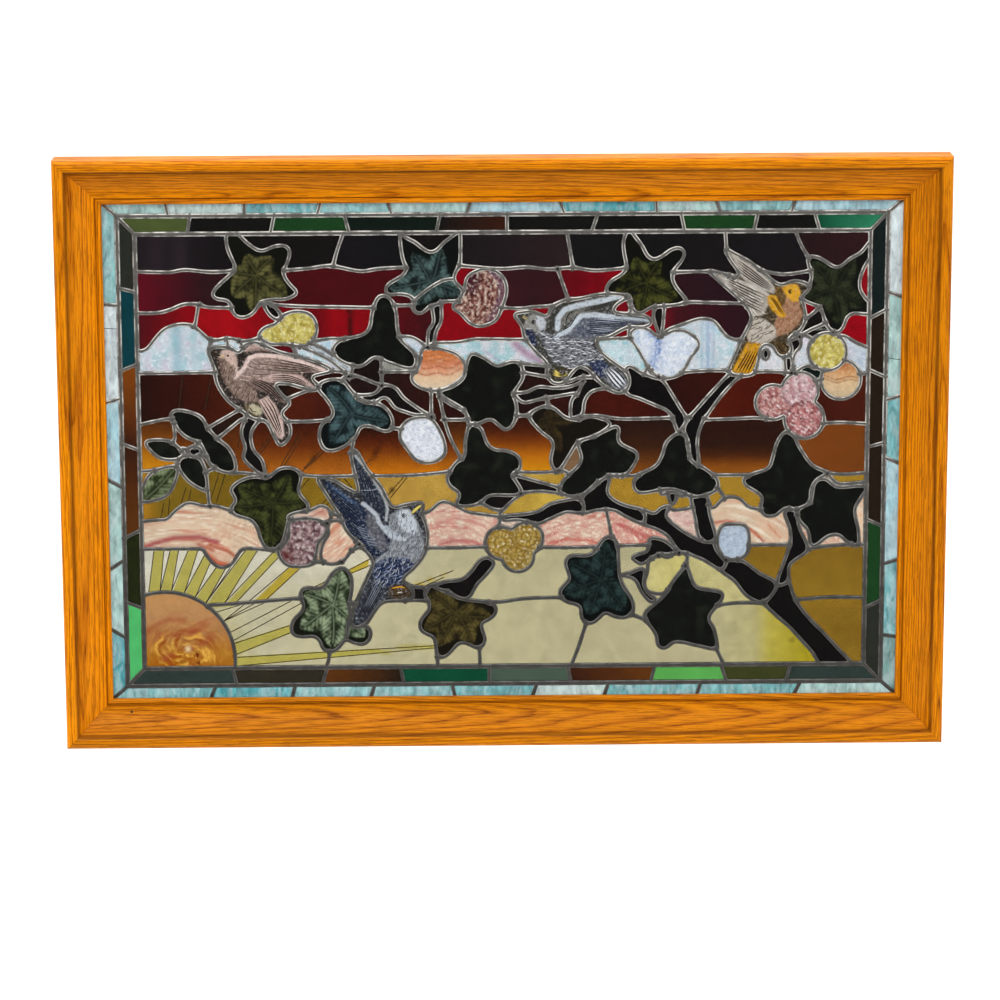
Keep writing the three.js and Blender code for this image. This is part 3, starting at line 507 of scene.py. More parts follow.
lay("twig_1", [
    [(-92, -180), (-75, -173), (-56, -171), (-43, -160), (-33, -146), (-22, -141), (-13, -150),
     (-24, -165), (-36, -178), (-46, -195), (-58, -196), (-72, -188)],
])
lay("twig_2", [
    [(190, -118), (200, -117), (213, -122), (230, -139), (206, -139), (190, -146), (180, -152),
     (167, -143), (176, -138), (188, -134)],
])
lay("pale_blossom", [
    [(190, -147), (206, -139), (213, -144), (222, -138), (239, -138), (238, -152), (222, -174),
     (212, -190), (202, -192), (188, -188), (184, -176), (188, -162)],
])

lay("pink_songbird", [
    [(-382, 136), (-371, 141), (-354, 140), (-342, 133), (-335, 143), (-322, 147), (-308, 142),
     (-290, 134), (-262, 127), (-240, 120), (-222, 109), (-248, 101), (-240, 90), (-244, 83),
     (-262, 87), (-280, 92), (-296, 91), (-286, 76), (-277, 66), (-288, 53), (-278, 38), (-278, 22),
     (-290, 10), (-298, 22), (-308, 42), (-325, 46), (-342, 58), (-358, 71), (-371, 92), (-375, 115)],
])
lay("grey_songbird", [
    [(14, 181), (24, 184), (38, 185), (50, 180), (58, 179), (62, 190), (78, 199), (100, 202),
     (125, 207), (148, 207), (160, 203), (146, 193), (143, 184), (160, 181), (182, 179), (192, 171),
     (184, 164), (160, 163), (138, 152), (121, 147), (126, 132), (142, 118), (160, 104), (163, 88),
     (153, 77), (138, 81), (122, 94), (110, 107), (98, 112), (88, 103), (78, 91), (64, 91), (56, 103),
     (56, 117), (38, 136), (27, 152), (24, 166)],
])
lay("gold_songbird", [
    [(396, 213), (390, 220), (375, 223), (360, 218), (350, 222), (336, 234), (318, 248), (300, 258),
     (287, 264), (292, 252), (303, 236), (302, 228), (284, 233), (267, 236), (278, 224), (298, 206),
     (314, 190), (321, 175), (314, 158), (308, 146), (300, 126), (292, 105), (304, 99), (324, 101),
     (330, 118), (335, 138), (348, 138), (356, 125), (368, 124), (374, 134), (370, 147), (384, 158),
     (391, 172), (389, 190), (386, 202)],
])
lay("blue_songbird", [
    [(-106, -67), (-107, -80), (-101, -100), (-100, -120), (-105, -138), (-118, -155), (-133, -170),
     (-121, -182), (-122, -197), (-156, -200), (-168, -210), (-182, -230), (-198, -234), (-201, -220),
     (-190, -190), (-176, -160), (-172, -145), (-185, -127), (-205, -105), (-217, -80), (-232, -55),
     (-243, -33), (-222, -36), (-204, -47), (-190, -52), (-194, -30), (-199, 0), (-192, 3),
     (-178, -22), (-160, -46), (-146, -72), (-130, -70)],
])

lay("bud", [[(-309, 198), (-298, 196), (-286, 181), (-292, 176), (-303, 184)]])
lay("drop_1", [[(214, -56), (227, -57), (220, -73)]])
lay("drop_2", [disc(340, 127, 5, 8)])
lay("drop_3", [disc(-402, 3, 10, 7)])
lay("twig_3", [
    [(152, -167), (166, -163), (181, -157), (185, -164), (183, -178), (188, -190), (200, -200), (192, -203),
     (180, -189), (172, -173), (160, -168)],
])
for route in [
        [(188, 112), (182, 102)], [(428, 158), (426, 152)], [(380, 153), (391, 152), (400, 147)],
        [(374, 107), (374, 101)], [(404, 92), (412, 92)],
        [(-473, 240), (-430, 239), (-410, 242), (-375, 239), (-340, 241)],
        [(-290, 240), (-250, 243), (-222, 246), (-185, 239), (-160, 242), (-120, 244)],
        [(-60, 246), (-30, 243), (0, 241), (30, 243), (60, 240), (90, 242), (120, 238), (165, 242)],
        [(215, 235), (250, 236), (275, 235), (300, 228)], [(330, 238), (350, 233), (370, 232), (400, 237)],
        [(-205, 290), (-214, 265), (-219, 246)], [(82, 290), (90, 242)], [(286, 290), (288, 262)],
        [(376, 290), (384, 270), (396, 250)],
        [(-473, 186), (-447, 186), (-430, 190), (-412, 197), (-395, 197), (-380, 193), (-345, 192)],
        [(-322, 199), (-270, 194), (-200, 192), (-158, 191)], [(-145, 194), (-110, 194)],
        [(-6, 191), (20, 189), (40, 191), (68, 192)],
        [(195, 190), (222, 193), (241, 196), (270, 195), (310, 194)], [(-393, 197), (-398, 170)],
        [(70, 241), (84, 200)],
        [(-473, 136), (-462, 138), (-450, 152), (-440, 163), (-428, 169), (-412, 171), (-400, 168),
         (-388, 158), (-377, 150), (-352, 152), (-338, 148), (-315, 152)],
        [(-245, 148), (-225, 151), (-203, 151), (-172, 157)], [(-142, 152), (-118, 152), (-96, 137)],
        [(-100, 137), (-88, 144), (-60, 145), (-38, 149), (-15, 149), (30, 148)],
        [(203, 150), (213, 160), (232, 167), (255, 174), (272, 171), (288, 152), (302, 146), (318, 147)],
        [(432, 147), (440, 151), (458, 141), (474, 134)], [(-473, 107), (-430, 107), (-368, 108)],
        [(-160, 107), (-112, 107)], [(18, 117), (60, 113)], [(118, 148), (150, 149), (172, 150)],
        [(232, 104), (270, 106), (305, 105)], [(320, 104), (350, 104), (385, 101)],
        [(455, 100), (474, 101)], [(-473, 39), (-455, 43), (-440, 46), (-424, 47)],
        [(-283, 42), (-255, 42), (-226, 44)], [(-152, 34), (-128, 30)], [(10, 48), (38, 48)],
        [(88, 44), (105, 47), (125, 47), (150, 43), (190, 43), (220, 44)],
        [(262, 41), (300, 42), (325, 43), (342, 42)], [(412, 35), (440, 36), (474, 34)],
        [(-473, -23), (-455, -22), (-436, -22)], [(-370, -22), (-350, -25), (-328, -27), (-305, -31)],
        [(-275, -27), (-245, -31), (-196, -31)], [(-176, -31), (-150, -31), (-110, -30), (-70, -26)],
        [(16, -27), (50, -28), (74, -26)], [(130, -33), (175, -33)], [(276, -33), (318, -33)],
        [(415, -31), (445, -33), (474, -31)],
        [(-473, -90), (-455, -88), (-440, -87), (-430, -77), (-415, -66), (-405, -66), (-390, -70),
         (-375, -70), (-345, -80)], [(-386, -48), (-384, -70)],
        [(-108, -82), (-96, -78), (-85, -68), (-77, -66), (-64, -71), (-48, -80), (-30, -83), (4, -88)],
        [(-473, -127), (-400, -127), (-393, -130), (-385, -142), (-375, -151), (-365, -152), (-355, -146),
         (-345, -130), (-335, -127), (-300, -130)], [(-213, -146), (-202, -132), (-184, -125)],
        [(-104, -128), (-60, -128), (-22, -127)], [(44, -128), (85, -129), (120, -128)],
        [(145, -127), (190, -126)], [(318, -127), (345, -127), (378, -127)],
        [(394, -133), (425, -129), (462, -127), (474, -128)],
        [(-388, -203), (-350, -201), (-300, -197), (-260, -194)], [(-205, -201), (-190, -203)],
        [(-158, -198), (-98, -199)], [(-20, -202), (0, -201), (30, -197), (76, -196)],
        [(280, -208), (310, -205), (345, -206)], [(378, -202), (400, -200), (430, -198), (474, -199)],
        [(-230, -262), (-231, -278), (-236, -291)], [(-88, -274), (-88, -291)], [(-33, -262), (-32, -291)],
        [(108, -230), (98, -262), (87, -291)], [(277, -262), (290, -291)], [(141, -115), (134, -80)],
        [(158, -216), (188, -228)],
        [(264, -62), (272, -78), (285, -66), (297, -62), (310, -66), (320, -76), (340, -80)],
        [(-197, 76), (-168, 78), (-158, 89), (-148, 89), (-138, 84), (-128, 71), (-93, 46)],
        [(-158, 124), (-158, 88)], [(-94, 86), (-94, 45)], [(-85, 86), (-78, 48), (-70, 20), (-56, -8)],
        [(-84, 74), (-66, 62), (-48, 54)], [(-388, 32), (-340, 60)], [(388, 172), (400, 180), (410, 190)],
        [(368, 144), (384, 150), (396, 158), (412, 165)], [(18, -56), (45, -53), (72, -56), (98, -61)],
        [(-331, 56), (-341, 30), (-336, 8), (-338, -8), (-314, -31)],
        [(-316, 46), (-328, 28), (-326, 6), (-314, -10), (-310, -34)], [(-199, 0), (-195, 16)],
        [(-93, 195), (-90, 172), (-97, 160), (-98, 136)], [(-81, 207), (-80, 175), (-87, 160), (-90, 140)],
        [(-262, 141), (-243, 132), (-224, 122), (-206, 107)], [(-250, 145), (-235, 139), (-221, 130)],
        [(-281, 72), (-262, 80), (-246, 86)], [(-222, 109), (-205, 106), (-200, 98)],
        [(364, 126), (366, 104)], [(373, 124), (377, 106)], [(380, 104), (394, 112), (404, 107)],
        [(376, 104), (377, 126), (386, 138), (383, 150)], [(84, 92), (100, 98), (114, 98)],
        [(16, 78), (30, 79), (46, 86), (66, 84), (86, 86), (104, 93)],
        [(15, 74), (26, 65), (45, 69), (68, 73), (92, 77)], [(56, 71), (58, 60)],
        [(104, 96), (98, 80), (88, 67), (87, 44)], [(134, 84), (114, 79), (105, 66), (103, 50), (96, 43)],
        [(158, 205), (165, 195), (164, 182)], [(196, 190), (194, 176), (202, 153)],
        [(208, 192), (207, 172), (205, 155)], [(163, 162), (162, 150)], [(-428, 44), (-427, 20)],
        [(-122, -180), (-104, -181)], [(277, -48), (288, -62)], [(222, -80), (245, -77)],
        [(24, 105), (57, 99)], [(-80, 43), (-48, 43)], [(424, -34), (436, -45), (455, -45), (474, -43)],
        [(-207, 100), (-192, 102), (-178, 97), (-164, 91), (-157, 89)], [(-196, 112), (-198, 101)],
        [(-188, 74), (-178, 67), (-165, 67), (-158, 73), (-150, 71), (-141, 59), (-128, 54), (-116, 50),
         (-103, 50)], [(-103, 51), (-88, 47)], [(-372, 20), (-340, 46)], [(239, -138), (238, -156)],
        [(-30, -68), (-15, -76), (-2, -79)], [(-2, -79), (8, -68), (22, -57)], [(-5, -79), (-6, -98)],
        [(14, -31), (45, -40), (76, -49)], [(-426, -17), (-424, -10)], [(-378, 149), (-380, 137)],
        [(-357, 151), (-356, 139)], [(-341, 150), (-337, 140)], [(-312, 146), (-308, 141)],
        [(-272, 142), (-268, 129)], [(-417, 8), (-410, 4)], [(-402, 9), (-395, 17)],
        [(-397, -1), (-389, -4)], [(-388, -24), (-378, -20)], [(-118, 129), (-108, 127)],
        [(69, -24), (81, -27)], [(226, -57), (234, -62)], [(213, -56), (206, -60)],
        [(-228, -80), (-214, -84)], [(-231, -98), (-231, -92)], [(-190, -122), (-183, -124)],
        [(-250, -146), (-236, -146)], [(188, 104), (206, 96)], [(218, 98), (206, 96)],
        [(234, 43), (244, 45)], [(229, 30), (230, 22)]]:
    rule(*route)
rule((-64, 228), (-76, 227), (-88, 221), (-100, 213), (-110, 205), (-115, 200), over=True)
rule((-205, -222), (-207, -250), over=True)


# ---------------------------------------------------------------- cutting the glass
# Glass can only follow the drawing: what one shape covers is taken from those below it, and what
# is left is cut along the ruled lines. Fine points are added where a pane is painted.
PLAIN = ("trunk", "bough", "fork", "dark", "twig", "bud", "drop", "short", "upright", "sprig")
PAINT_STEP = 1.5
CLOUD_STEP = 2.6
OPEN_STEP = 7.0


def inside(points, outline):
    x, z = points[:, 0], points[:, 1]
    found = np.zeros(len(points), bool)
    for (ax, az), (bx, bz) in zip(outline, outline[1:] + outline[:1]):
        if az != bz:
            found ^= ((az > z) != (bz > z)) & (x < (bx - ax) * (z - az) / (bz - az) + ax)
    return found


def shape_at(points):
    """The number of the top shape over each point, or -1."""
    found = np.full(len(points), -1)
    for number, (name, outlines) in enumerate(shapes):
        for outline in outlines:
            low, high = np.min(outline, axis=0), np.max(outline, axis=0)
            near = np.nonzero(np.all((points >= low) & (points <= high), axis=1))[0]
            found[near[inside(points[near], outline)]] = number
    return found


def grid(step, low, high):
    """Points in staggered rows."""
    rows = np.arange(low[1], high[1], step * 0.866)
    across = np.arange(low[0], high[0], step)
    x = across[None, :] + (np.arange(len(rows)) % 2)[:, None] * step / 2
    return np.stack([x.ravel(), np.repeat(rows, len(across))], axis=1)


everywhere = (np.array(FIELD) * -1 + 2, np.array(FIELD) - 2)
painted = np.array([not name.startswith(PLAIN) or name == "sprig_4" for name, _ in shapes] + [False])
fine = grid(PAINT_STEP, *everywhere)
rays = (shape_at(fine) < 0) & (fine[:, 0] < -165) & (fine[:, 1] < -127)
fine = fine[painted[shape_at(fine)] | rays]
cloudy = grid(CLOUD_STEP, *everywhere)
cloudy = cloudy[(shape_at(cloudy) < 0) & ((cloudy[:, 1] > -160) & (cloudy[:, 1] < -62)
                                          | (cloudy[:, 1] > 103) & (cloudy[:, 1] < 178))]
loose = grid(OPEN_STEP, *everywhere)
loose = loose[~painted[shape_at(loose)]]
points = np.concatenate([fine, cloudy, loose]).tolist()
edges = []
REACH = 8.0
outline_points = [p for name, outlines in shapes for outline in outlines for p in outline]


def meeting(run, others):
    """Each end of a line is taken on to the shape, line or edge that it nearly meets."""
    made = list(run)
    for back in (False, True):
        end = np.array([made[-1] if back else made[0]])
        on_edge = np.any(np.abs(end) >= np.array(FIELD) - 1e-6)
        gap = np.hypot(*(others - end).T)
        if shape_at(end)[0] < 0 and not on_edge and gap.min() < REACH:
            met = tuple(others[gap.argmin()])
            made = made + [met] if back else [met] + made
    return made



def draw(run, closed):
    first = len(points)
    points.extend(run)
    edges.extend((first + i, first + (i + 1) % len(run)) for i in range(len(run) if closed else len(run) - 1))


draw([(-FIELD[0], -FIELD[1]), (FIELD[0], -FIELD[1]), FIELD, (-FIELD[0], FIELD[1])], True)
for name, outlines in shapes:
    for outline in outlines:
        draw(outline, True)
for number, (run, over) in enumerate(lines):
    if over:
        continue
    beside = [p for k, (other, _) in enumerate(lines) if k != number for p in other]
    draw(meeting(run, np.array(outline_points + beside)), False)
over_from = len(edges)
for run, over in lines:
    if over:
        draw(run, False)

cut = delaunay_2d_cdt([Vector(p) for p in points], edges, [], 0, 1e-4, True)
spots = np.array([tuple(p) for p in cut[0]])
triangles = np.array([face for face in cut[2]])
ruled = {tuple(sorted(edge)): from_edges for edge, from_edges in zip(cut[1], cut[4]) if from_edges}
middles = spots[triangles].mean(axis=1)
shape_of = shape_at(middles)

# neighbours across each edge, and the edges that glass is cut along
sides = {}
for number, (a, b, c) in enumerate(triangles.tolist()):
    for edge in ((a, b), (b, c), (c, a)):
        sides.setdefault(tuple(sorted(edge)), []).append(number)


def leaded(edge, around):
    if len(around) < 2 or shape_of[around[0]] != shape_of[around[1]]:
        return len(around) == 2
    from_edges = ruled.get(edge)
    return bool(from_edges) and (shape_of[around[0]] < 0 or max(from_edges) >= over_from)


came_edges = {edge for edge, around in sides.items() if leaded(edge, around)}
joined = [[] for _ in triangles]
for edge, around in sides.items():
    if len(around) == 2 and edge not in came_edges:
        joined[around[0]].append(around[1])
        joined[around[1]].append(around[0])
pane_of = np.full(len(triangles), -1)
panes = []
for start in range(len(triangles)):
    if pane_of[start] >= 0:
        continue
    pane_of[start] = len(panes)
    stack = [start]
    members = []
    while stack:
        number = stack.pop()
        members.append(number)
        for other in joined[number]:
            if pane_of[other] < 0:
                pane_of[other] = len(panes)
                stack.append(other)
    panes.append(np.array(members))


def area_of(pane):
    a, b, c = (spots[triangles[pane][:, k]] for k in range(3))
    return np.abs((b[:, 0] - a[:, 0]) * (c[:, 1] - a[:, 1]) - (b[:, 1] - a[:, 1]) * (c[:, 0] - a[:, 0])) / 2


areas = [area_of(pane) for pane in panes]
centres = [np.average(middles[pane], axis=0, weights=area + 1e-9) for pane, area in zip(panes, areas)]
kinds = [shapes[shape_of[pane[0]]][0] if shape_of[pane[0]] >= 0 else "sky" for pane in panes]
SMALLEST = 28  # square millimetres: less than this is filled with solder
solder_panes = [i for i, area in enumerate(areas) if area.sum() < SMALLEST]


def pane_at(x, z):
    """The pane under a point of the drawing."""
    near = np.argsort(np.hypot(middles[:, 0] - x, middles[:, 1] - z))[:40]
    for number in near:
        (ax, az), (bx, bz), (cx, cz) = spots[triangles[number]]
        turns = [(bx - ax) * (z - az) - (bz - az) * (x - ax), (cx - bx) * (z - bz) - (cz - bz) * (x - bx),
                 (ax - cx) * (z - cz) - (az - cz) * (x - cx)]
        if min(turns) >= 0 or max(turns) <= 0:
            return int(pane_of[number])
    return int(pane_of[near[0]])


# ---------------------------------------------------------------- leading
# H-section lead came, milled soft and dressed down over the edges of the glass, soldered wherever
# lengths meet. A painted highlight runs as a broken bright line along the rims of its flanges, and the middle
# is dull grey.
CAME = 2.5  # half width
panel_low, panel_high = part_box("edge_came")
panel_front = panel_low.y / MM
panel_back = panel_high.y / MM
glass_low, glass_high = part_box("pear")
glass_front = glass_low.y / MM
glass_back = glass_high.y / MM


def lead_metal(name, body, rim):
    """Lead gone dull: grey oxide, blotched, with a painted highlight along the rims of the flange."""
    material, tree, shader = new_material(name)
    place = add(tree, "TexCoord").outputs["Object"]
    across = add(tree, "Attribute", attribute_name="across").outputs["Fac"]
    # blotches of oxide 3 to 8 mm wide
    blotch = add(tree, "TexNoise", {"Vector": place, "Scale": 160.0, "Detail": 4.0, "Roughness": 0.6})
    grey = set_ramp(add(tree, "ValToRGB", {"Fac": blotch.outputs[0]}), body)
    # the painted highlight on the rim: a broken bright line less than a millimetre wide on each side
    breaks = add(tree, "TexNoise", {"Vector": place, "Scale": 75.0, "Detail": 3.0})
    broken = set_ramp(add(tree, "ValToRGB", {"Fac": breaks.outputs[0]}), [(0.42, 0.1), (0.58, 1.0)])
    edge = set_ramp(add(tree, "ValToRGB", {"Fac": across}),
                    [(0.42, 0.0), (0.62, 1.0), (0.9, 1.0), (1.0, 0.1)])
    amount = add(tree, "Math", {0: edge, 1: broken}, operation="MULTIPLY")
    # the painted highlight on the rims fades towards the foot of the panel
    height = add(tree, "SeparateXYZ", {0: place}).outputs["Z"]
    rim_highlight_by_height = add(tree, "MapRange", {"Value": height, 1: middle - 0.2, 2: middle + 0.06, 3: 0.3, 4: 1.0})
    amount = add(tree, "Math", {0: amount.outputs[0], 1: rim_highlight_by_height.outputs[0]}, operation="MULTIPLY")
    colour = add(tree, "Mix", {"Factor": amount.outputs[0], "A": grey, "B": linear(rim)}, data_type="RGBA")
    # the lead is also made darker as a whole towards the foot of the panel
    darker_towards_foot = add(tree, "MapRange", {"Value": height, 1: middle - 0.2, 2: middle + 0.06, 3: 0.52, 4: 1.15})
    colour = add(tree, "Mix", {"Factor": 1.0, "A": colour.outputs["Result"], "B": darker_towards_foot.outputs[0]},
                 data_type="RGBA", blend_type="MULTIPLY")
    tree.links.new(colour.outputs["Result"], shader.inputs["Base Color"])
    rough = add(tree, "MapRange", {"Value": blotch.outputs[0], 3: 0.42, 4: 0.62})
    tree.links.new(rough.outputs[0], shader.inputs["Roughness"])
    dents = add(tree, "Bump", {"Height": blotch.outputs[0], "Strength": 0.35, "Distance": 0.0006})
    tree.links.new(dents.outputs[0], shader.inputs["Normal"])
    shader.inputs["Metallic"].default_value = 0.45
    return material


# the last colour is that of the painted highlight along the rims
old_lead = lead_metal("dull_lead_came", [(0.3, "#4f4d49"), (0.55, "#605e5a"), (0.75, "#75736e")], "#d2d0c9")
cross_section = [(-1.0, 1.0), (-0.84, 0.35), (-0.5, 0.0), (0.0, 0.14), (0.5, 0.0), (0.84, 0.35), (1.0, 1.0),
                 (1.0, 4.0), (0.62, 5.0), (-0.62, 5.0), (-1.0, 4.0)]


def resample(run, step):
    """The same line with even steps, a little relaxed."""
    run = np.array(run)
    lengths = np.concatenate([[0], np.cumsum(np.hypot(*np.diff(run, axis=0).T))])
    count = max(2, round(lengths[-1] / step) + 1)
    even = np.linspace(0, lengths[-1], count)
    made = np.stack([np.interp(even, lengths, run[:, k]) for k in (0, 1)], axis=1)
    if count > 4:
        made[1:-1] = made[1:-1] * 0.5 + (made[:-2] + made[2:]) * 0.25
    return made


def swept(run, half, swell=(0, 0)):
    """Vertices, faces and place across the width for one length of came; it may swell at its ends."""
    along = np.gradient(run, axis=0)
    along /= np.maximum(np.hypot(along[:, 0], along[:, 1]), 1e-9)[:, None]
    normal = np.stack([-along[:, 1], along[:, 0]], axis=1)
    steps = np.concatenate([[0], np.cumsum(np.hypot(*np.diff(run, axis=0).T))])
    size = np.array([1 + 0.1 * noise.noise(Vector((x / 17, z / 17, 0.5))) for x, z in run])
    size += swell[0] * np.exp(-(steps / 4.5) ** 2) + swell[1] * np.exp(-((steps[-1] - steps) / 4.5) ** 2)
    vertices = []
    faces = []
    count = len(cross_section)
    for i, (x, z) in enumerate(run):
        for u, y in cross_section:
            vertices.append((x + normal[i, 0] * u * half * size[i], panel_front + y,
                             z + normal[i, 1] * u * half * size[i]))
        for k in range(count if i else 0):
            following = (k + 1) % count
            a, b = (i - 1) * count, i * count
            faces.append((a + k, a + following, b + following, b + k))
    faces.append(tuple(range(count)))
    faces.append(tuple(range(len(vertices) - 1, len(vertices) - 1 - count, -1)))
    return vertices, faces, [abs(u) for u, y in cross_section] * len(run)


def came_object(name, parts, material, *nodes):
    vertices = []
    faces = []
    across = []
    for part_vertices, part_faces, part_across in parts:
        first = len(vertices)
        vertices += [(x * MM, y * MM, z * MM + middle) for x, y, z in part_vertices]
        faces += [tuple(first + k for k in face) for face in part_faces]
        across += part_across
    made = piece(name, vertices, faces, material)
    made.data.attributes.new("across", "FLOAT", "POINT").data.foreach_set("value", across)
    bpy.ops.object.mode_set(mode="EDIT")
    bpy.ops.mesh.select_all(action="SELECT")
    bpy.ops.mesh.normals_make_consistent(inside=False)
    bpy.ops.object.mode_set(mode="OBJECT")
    bpy.ops.object.shade_smooth_by_angle(angle=math.radians(50))
    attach(made, "root")
    if nodes:
        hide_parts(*nodes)
    return made


def solder_joint(x, z, radius, seed):
    """A flattened drop of solder, a little off round."""
    sides = 10
    rings = [(1.0, 0.9), (0.8, 0.1), (0.42, -0.35)]
    vertices = []
    for size, y in rings:
        for k in range(sides):
            angle = 2 * math.pi * k / sides
            bulge = 1 + 0.14 * math.sin(angle * 2 + seed) + 0.08 * math.sin(angle * 3 - seed)
            reach = radius * size * bulge
            vertices.append((x + reach * math.cos(angle), panel_front + y, z + reach * math.sin(angle)))
    faces = [(r * sides + k, r * sides + (k + 1) % sides, (r + 1) * sides + (k + 1) % sides,
              (r + 1) * sides + k)
             for r in range(len(rings) - 1) for k in range(sides)]
    faces += [tuple(2 * sides + k for k in range(sides)), tuple(reversed(range(sides)))]
    return vertices, faces, [0.3] * len(vertices)


meets = {}
for a, b in came_edges:
    meets.setdefault(a, []).append(b)
    meets.setdefault(b, []).append(a)
leads = []
walked = set()
for start in sorted(node for node, others in meets.items() if len(others) != 2):
    for other in meets[start]:
        if (start, other) in walked:
            continue
        chain = [start, other]
        while len(meets[chain[-1]]) == 2:
            onward = [node for node in meets[chain[-1]] if node != chain[-2]]
            chain.append(onward[0])
        walked.add((chain[0], chain[1]))
        walked.add((chain[-1], chain[-2]))
        run = spots[chain]
        ends = [0.45 if len(meets[chain[k]]) > 2 else 0.1 for k in (0, -1)]
        leads.append(swept(resample(run, 3.4), CAME, ends))
in_chain = {node for pair in walked for node in pair}
for start in sorted(node for node, others in meets.items() if len(others) == 2):
    # closed rings round a single pane
    if start in in_chain:
        continue
    chain = [start, meets[start][0]]
    seen = {start}
    while chain[-1] != start:
        seen.add(chain[-1])
        if len(meets[chain[-1]]) != 2:
            break
        onward = [node for node in meets[chain[-1]] if node != chain[-2]]
        chain.append(onward[0])
    if chain[-1] == start:
        leads.append(swept(resample(spots[chain], 3.4), CAME))
    in_chain |= seen
joints = [spots[node] for node, others in meets.items() if len(others) > 2]
leads += [solder_joint(x, z, 4.3, x * 0.37 + z) for x, z in joints]
for number in solder_panes:
    for pane_triangle in spots[triangles[panes[number]]]:
        flat = [(x, panel_front + 0.4, z) for x, z in pane_triangle]
        leads.append((flat + [(x, panel_back - 0.6, z) for x, y, z in flat],
                      [(0, 1, 2), (5, 4, 3), (0, 3, 4, 1), (1, 4, 5, 2), (2, 5, 3, 0)], [0.3] * 6))
# the straight lead round the picture and the short leads across the borders
BORDER_CAME = 3.25  # half width


def straight(a, b, half):
    return swept(resample([a, b], 9.0), half)


def ring_of(size, half):
    corners = [(-size[0], -size[1]), (size[0], -size[1]), size, (-size[0], size[1])]
    return [straight(corners[k], corners[(k + 1) % 4], half) for k in range(4)]


leads += ring_of(FIELD, BORDER_CAME)
came_object("leading_of_the_picture", leads, old_lead, "leading")
edge_line = (EDGE_OF_PANEL[0] - BORDER_CAME, EDGE_OF_PANEL[1] - BORDER_CAME)
came_object("lead_round_the_panel", ring_of(edge_line, BORDER_CAME), old_lead, "edge_came")
came_object("lead_between_the_borders", ring_of(OUTER_LINE, BORDER_CAME), old_lead, "border_came")

# ---------------------------------------------------------------- borders
# Two rings of cut tiles with short leads between them: rippled turquoise outside, and dark greens,
# browns and blues inside. The corners are mitred.
outer_crosses = {
    "top": [(-434, -430), (-332, -332), (-233, -239), (-149, -143), (-41, -47), (72, 79), (197, 198),
            (273, 280), (377, 371)],
    "bottom": [(-388, -380), (-281, -275), (-177, -171), (-65, -69), (36, 43), (131, 137), (253, 259),
               (381, 391)],
    "left": [(198, 196), (67, 74), (-32, -45), (-156, -141), (-233, -247)],
    "right": [(200, 208), (72, 65), (-20, -11), (-147, -154), (-253, -249)],
}
inner_crosses = {
    "top": [(-402, -406), (-294, -299), (-204, -198), (-81, -86), (5, 5), (122, 114), (229, 234),
            (328, 323), (401, 408)],
    "bottom": [(-352, -358), (-240, -233), (-132, -137), (-20, -20), (88, 83), (193, 198), (293, 285),
               (371, 377)],
    "left": [(219, 213), (110, 119), (14, 5), (-112, -101), (-198, -207)],
    "right": [(185, 173), (96, 106), (9, 3), (-103, -93), (-202, -213)],
}
# The glazier's stock: a few sheets of each kind, which the tiles are cut from.
GLASS_STOCK = {
    "milk": "#dce8ec", "pale": "#c6dcd8", "mist": "#b2d4d0", "sky": "#b0d6e0", "aqua": "#98cacc",
    "lagoon": "#80bcc0", "deep_turquoise": "#5cb0b8", "weathered": "#7ca4a0",
    "coal": "#0c0c0a", "ink": "#0e1818", "night_green": "#08140e", "smoke": "#242620",
    "slate": "#283430", "sage": "#405044", "petrol": "#04343c", "emerald": "#04402a",
    "jade": "#287454", "bottle_green": "#143818", "leaf_green": "#509848", "mint": "#48a860",
    "moss": "#445028", "olive": "#343818", "deep_olive": "#1a2008", "umber": "#28241a",
    "bistre": "#1e140a", "russet": "#301408", "chestnut": "#542c08", "cognac": "#743a08",
}
turquoise = {
    "top": ["mist", "pale", "lagoon", "aqua", "mist", "sky", "deep_turquoise", "mist", "aqua", "sky"],
    "bottom": ["lagoon", "deep_turquoise", "aqua", "aqua", "lagoon", "pale", "lagoon", "lagoon", "mist"],
    "left": ["aqua", "milk", "sky", "mist", "mist", "deep_turquoise"],
    "right": ["milk", "mist", "lagoon", "sky", "lagoon", "weathered"],
}
# two names where a sheet runs from one glass into another along the tile
dark_tiles = {
    "top": ["moss", "coal", "bottle_green", "night_green", ("coal", "russet"), "coal", "coal", "bottle_green",
            "coal", ("emerald", "jade")],
    "bottom": ["slate", "umber", ("chestnut", "bistre"), "emerald", "sage", ("russet", "chestnut"),
               "leaf_green", "olive", "slate"],
    "left": ["smoke", "petrol", ("cognac", "russet"), ("russet", "chestnut"), "deep_olive", "mint"],
    "right": ["ink", "bistre", "bistre", "bistre", "bottle_green", "smoke"],
}


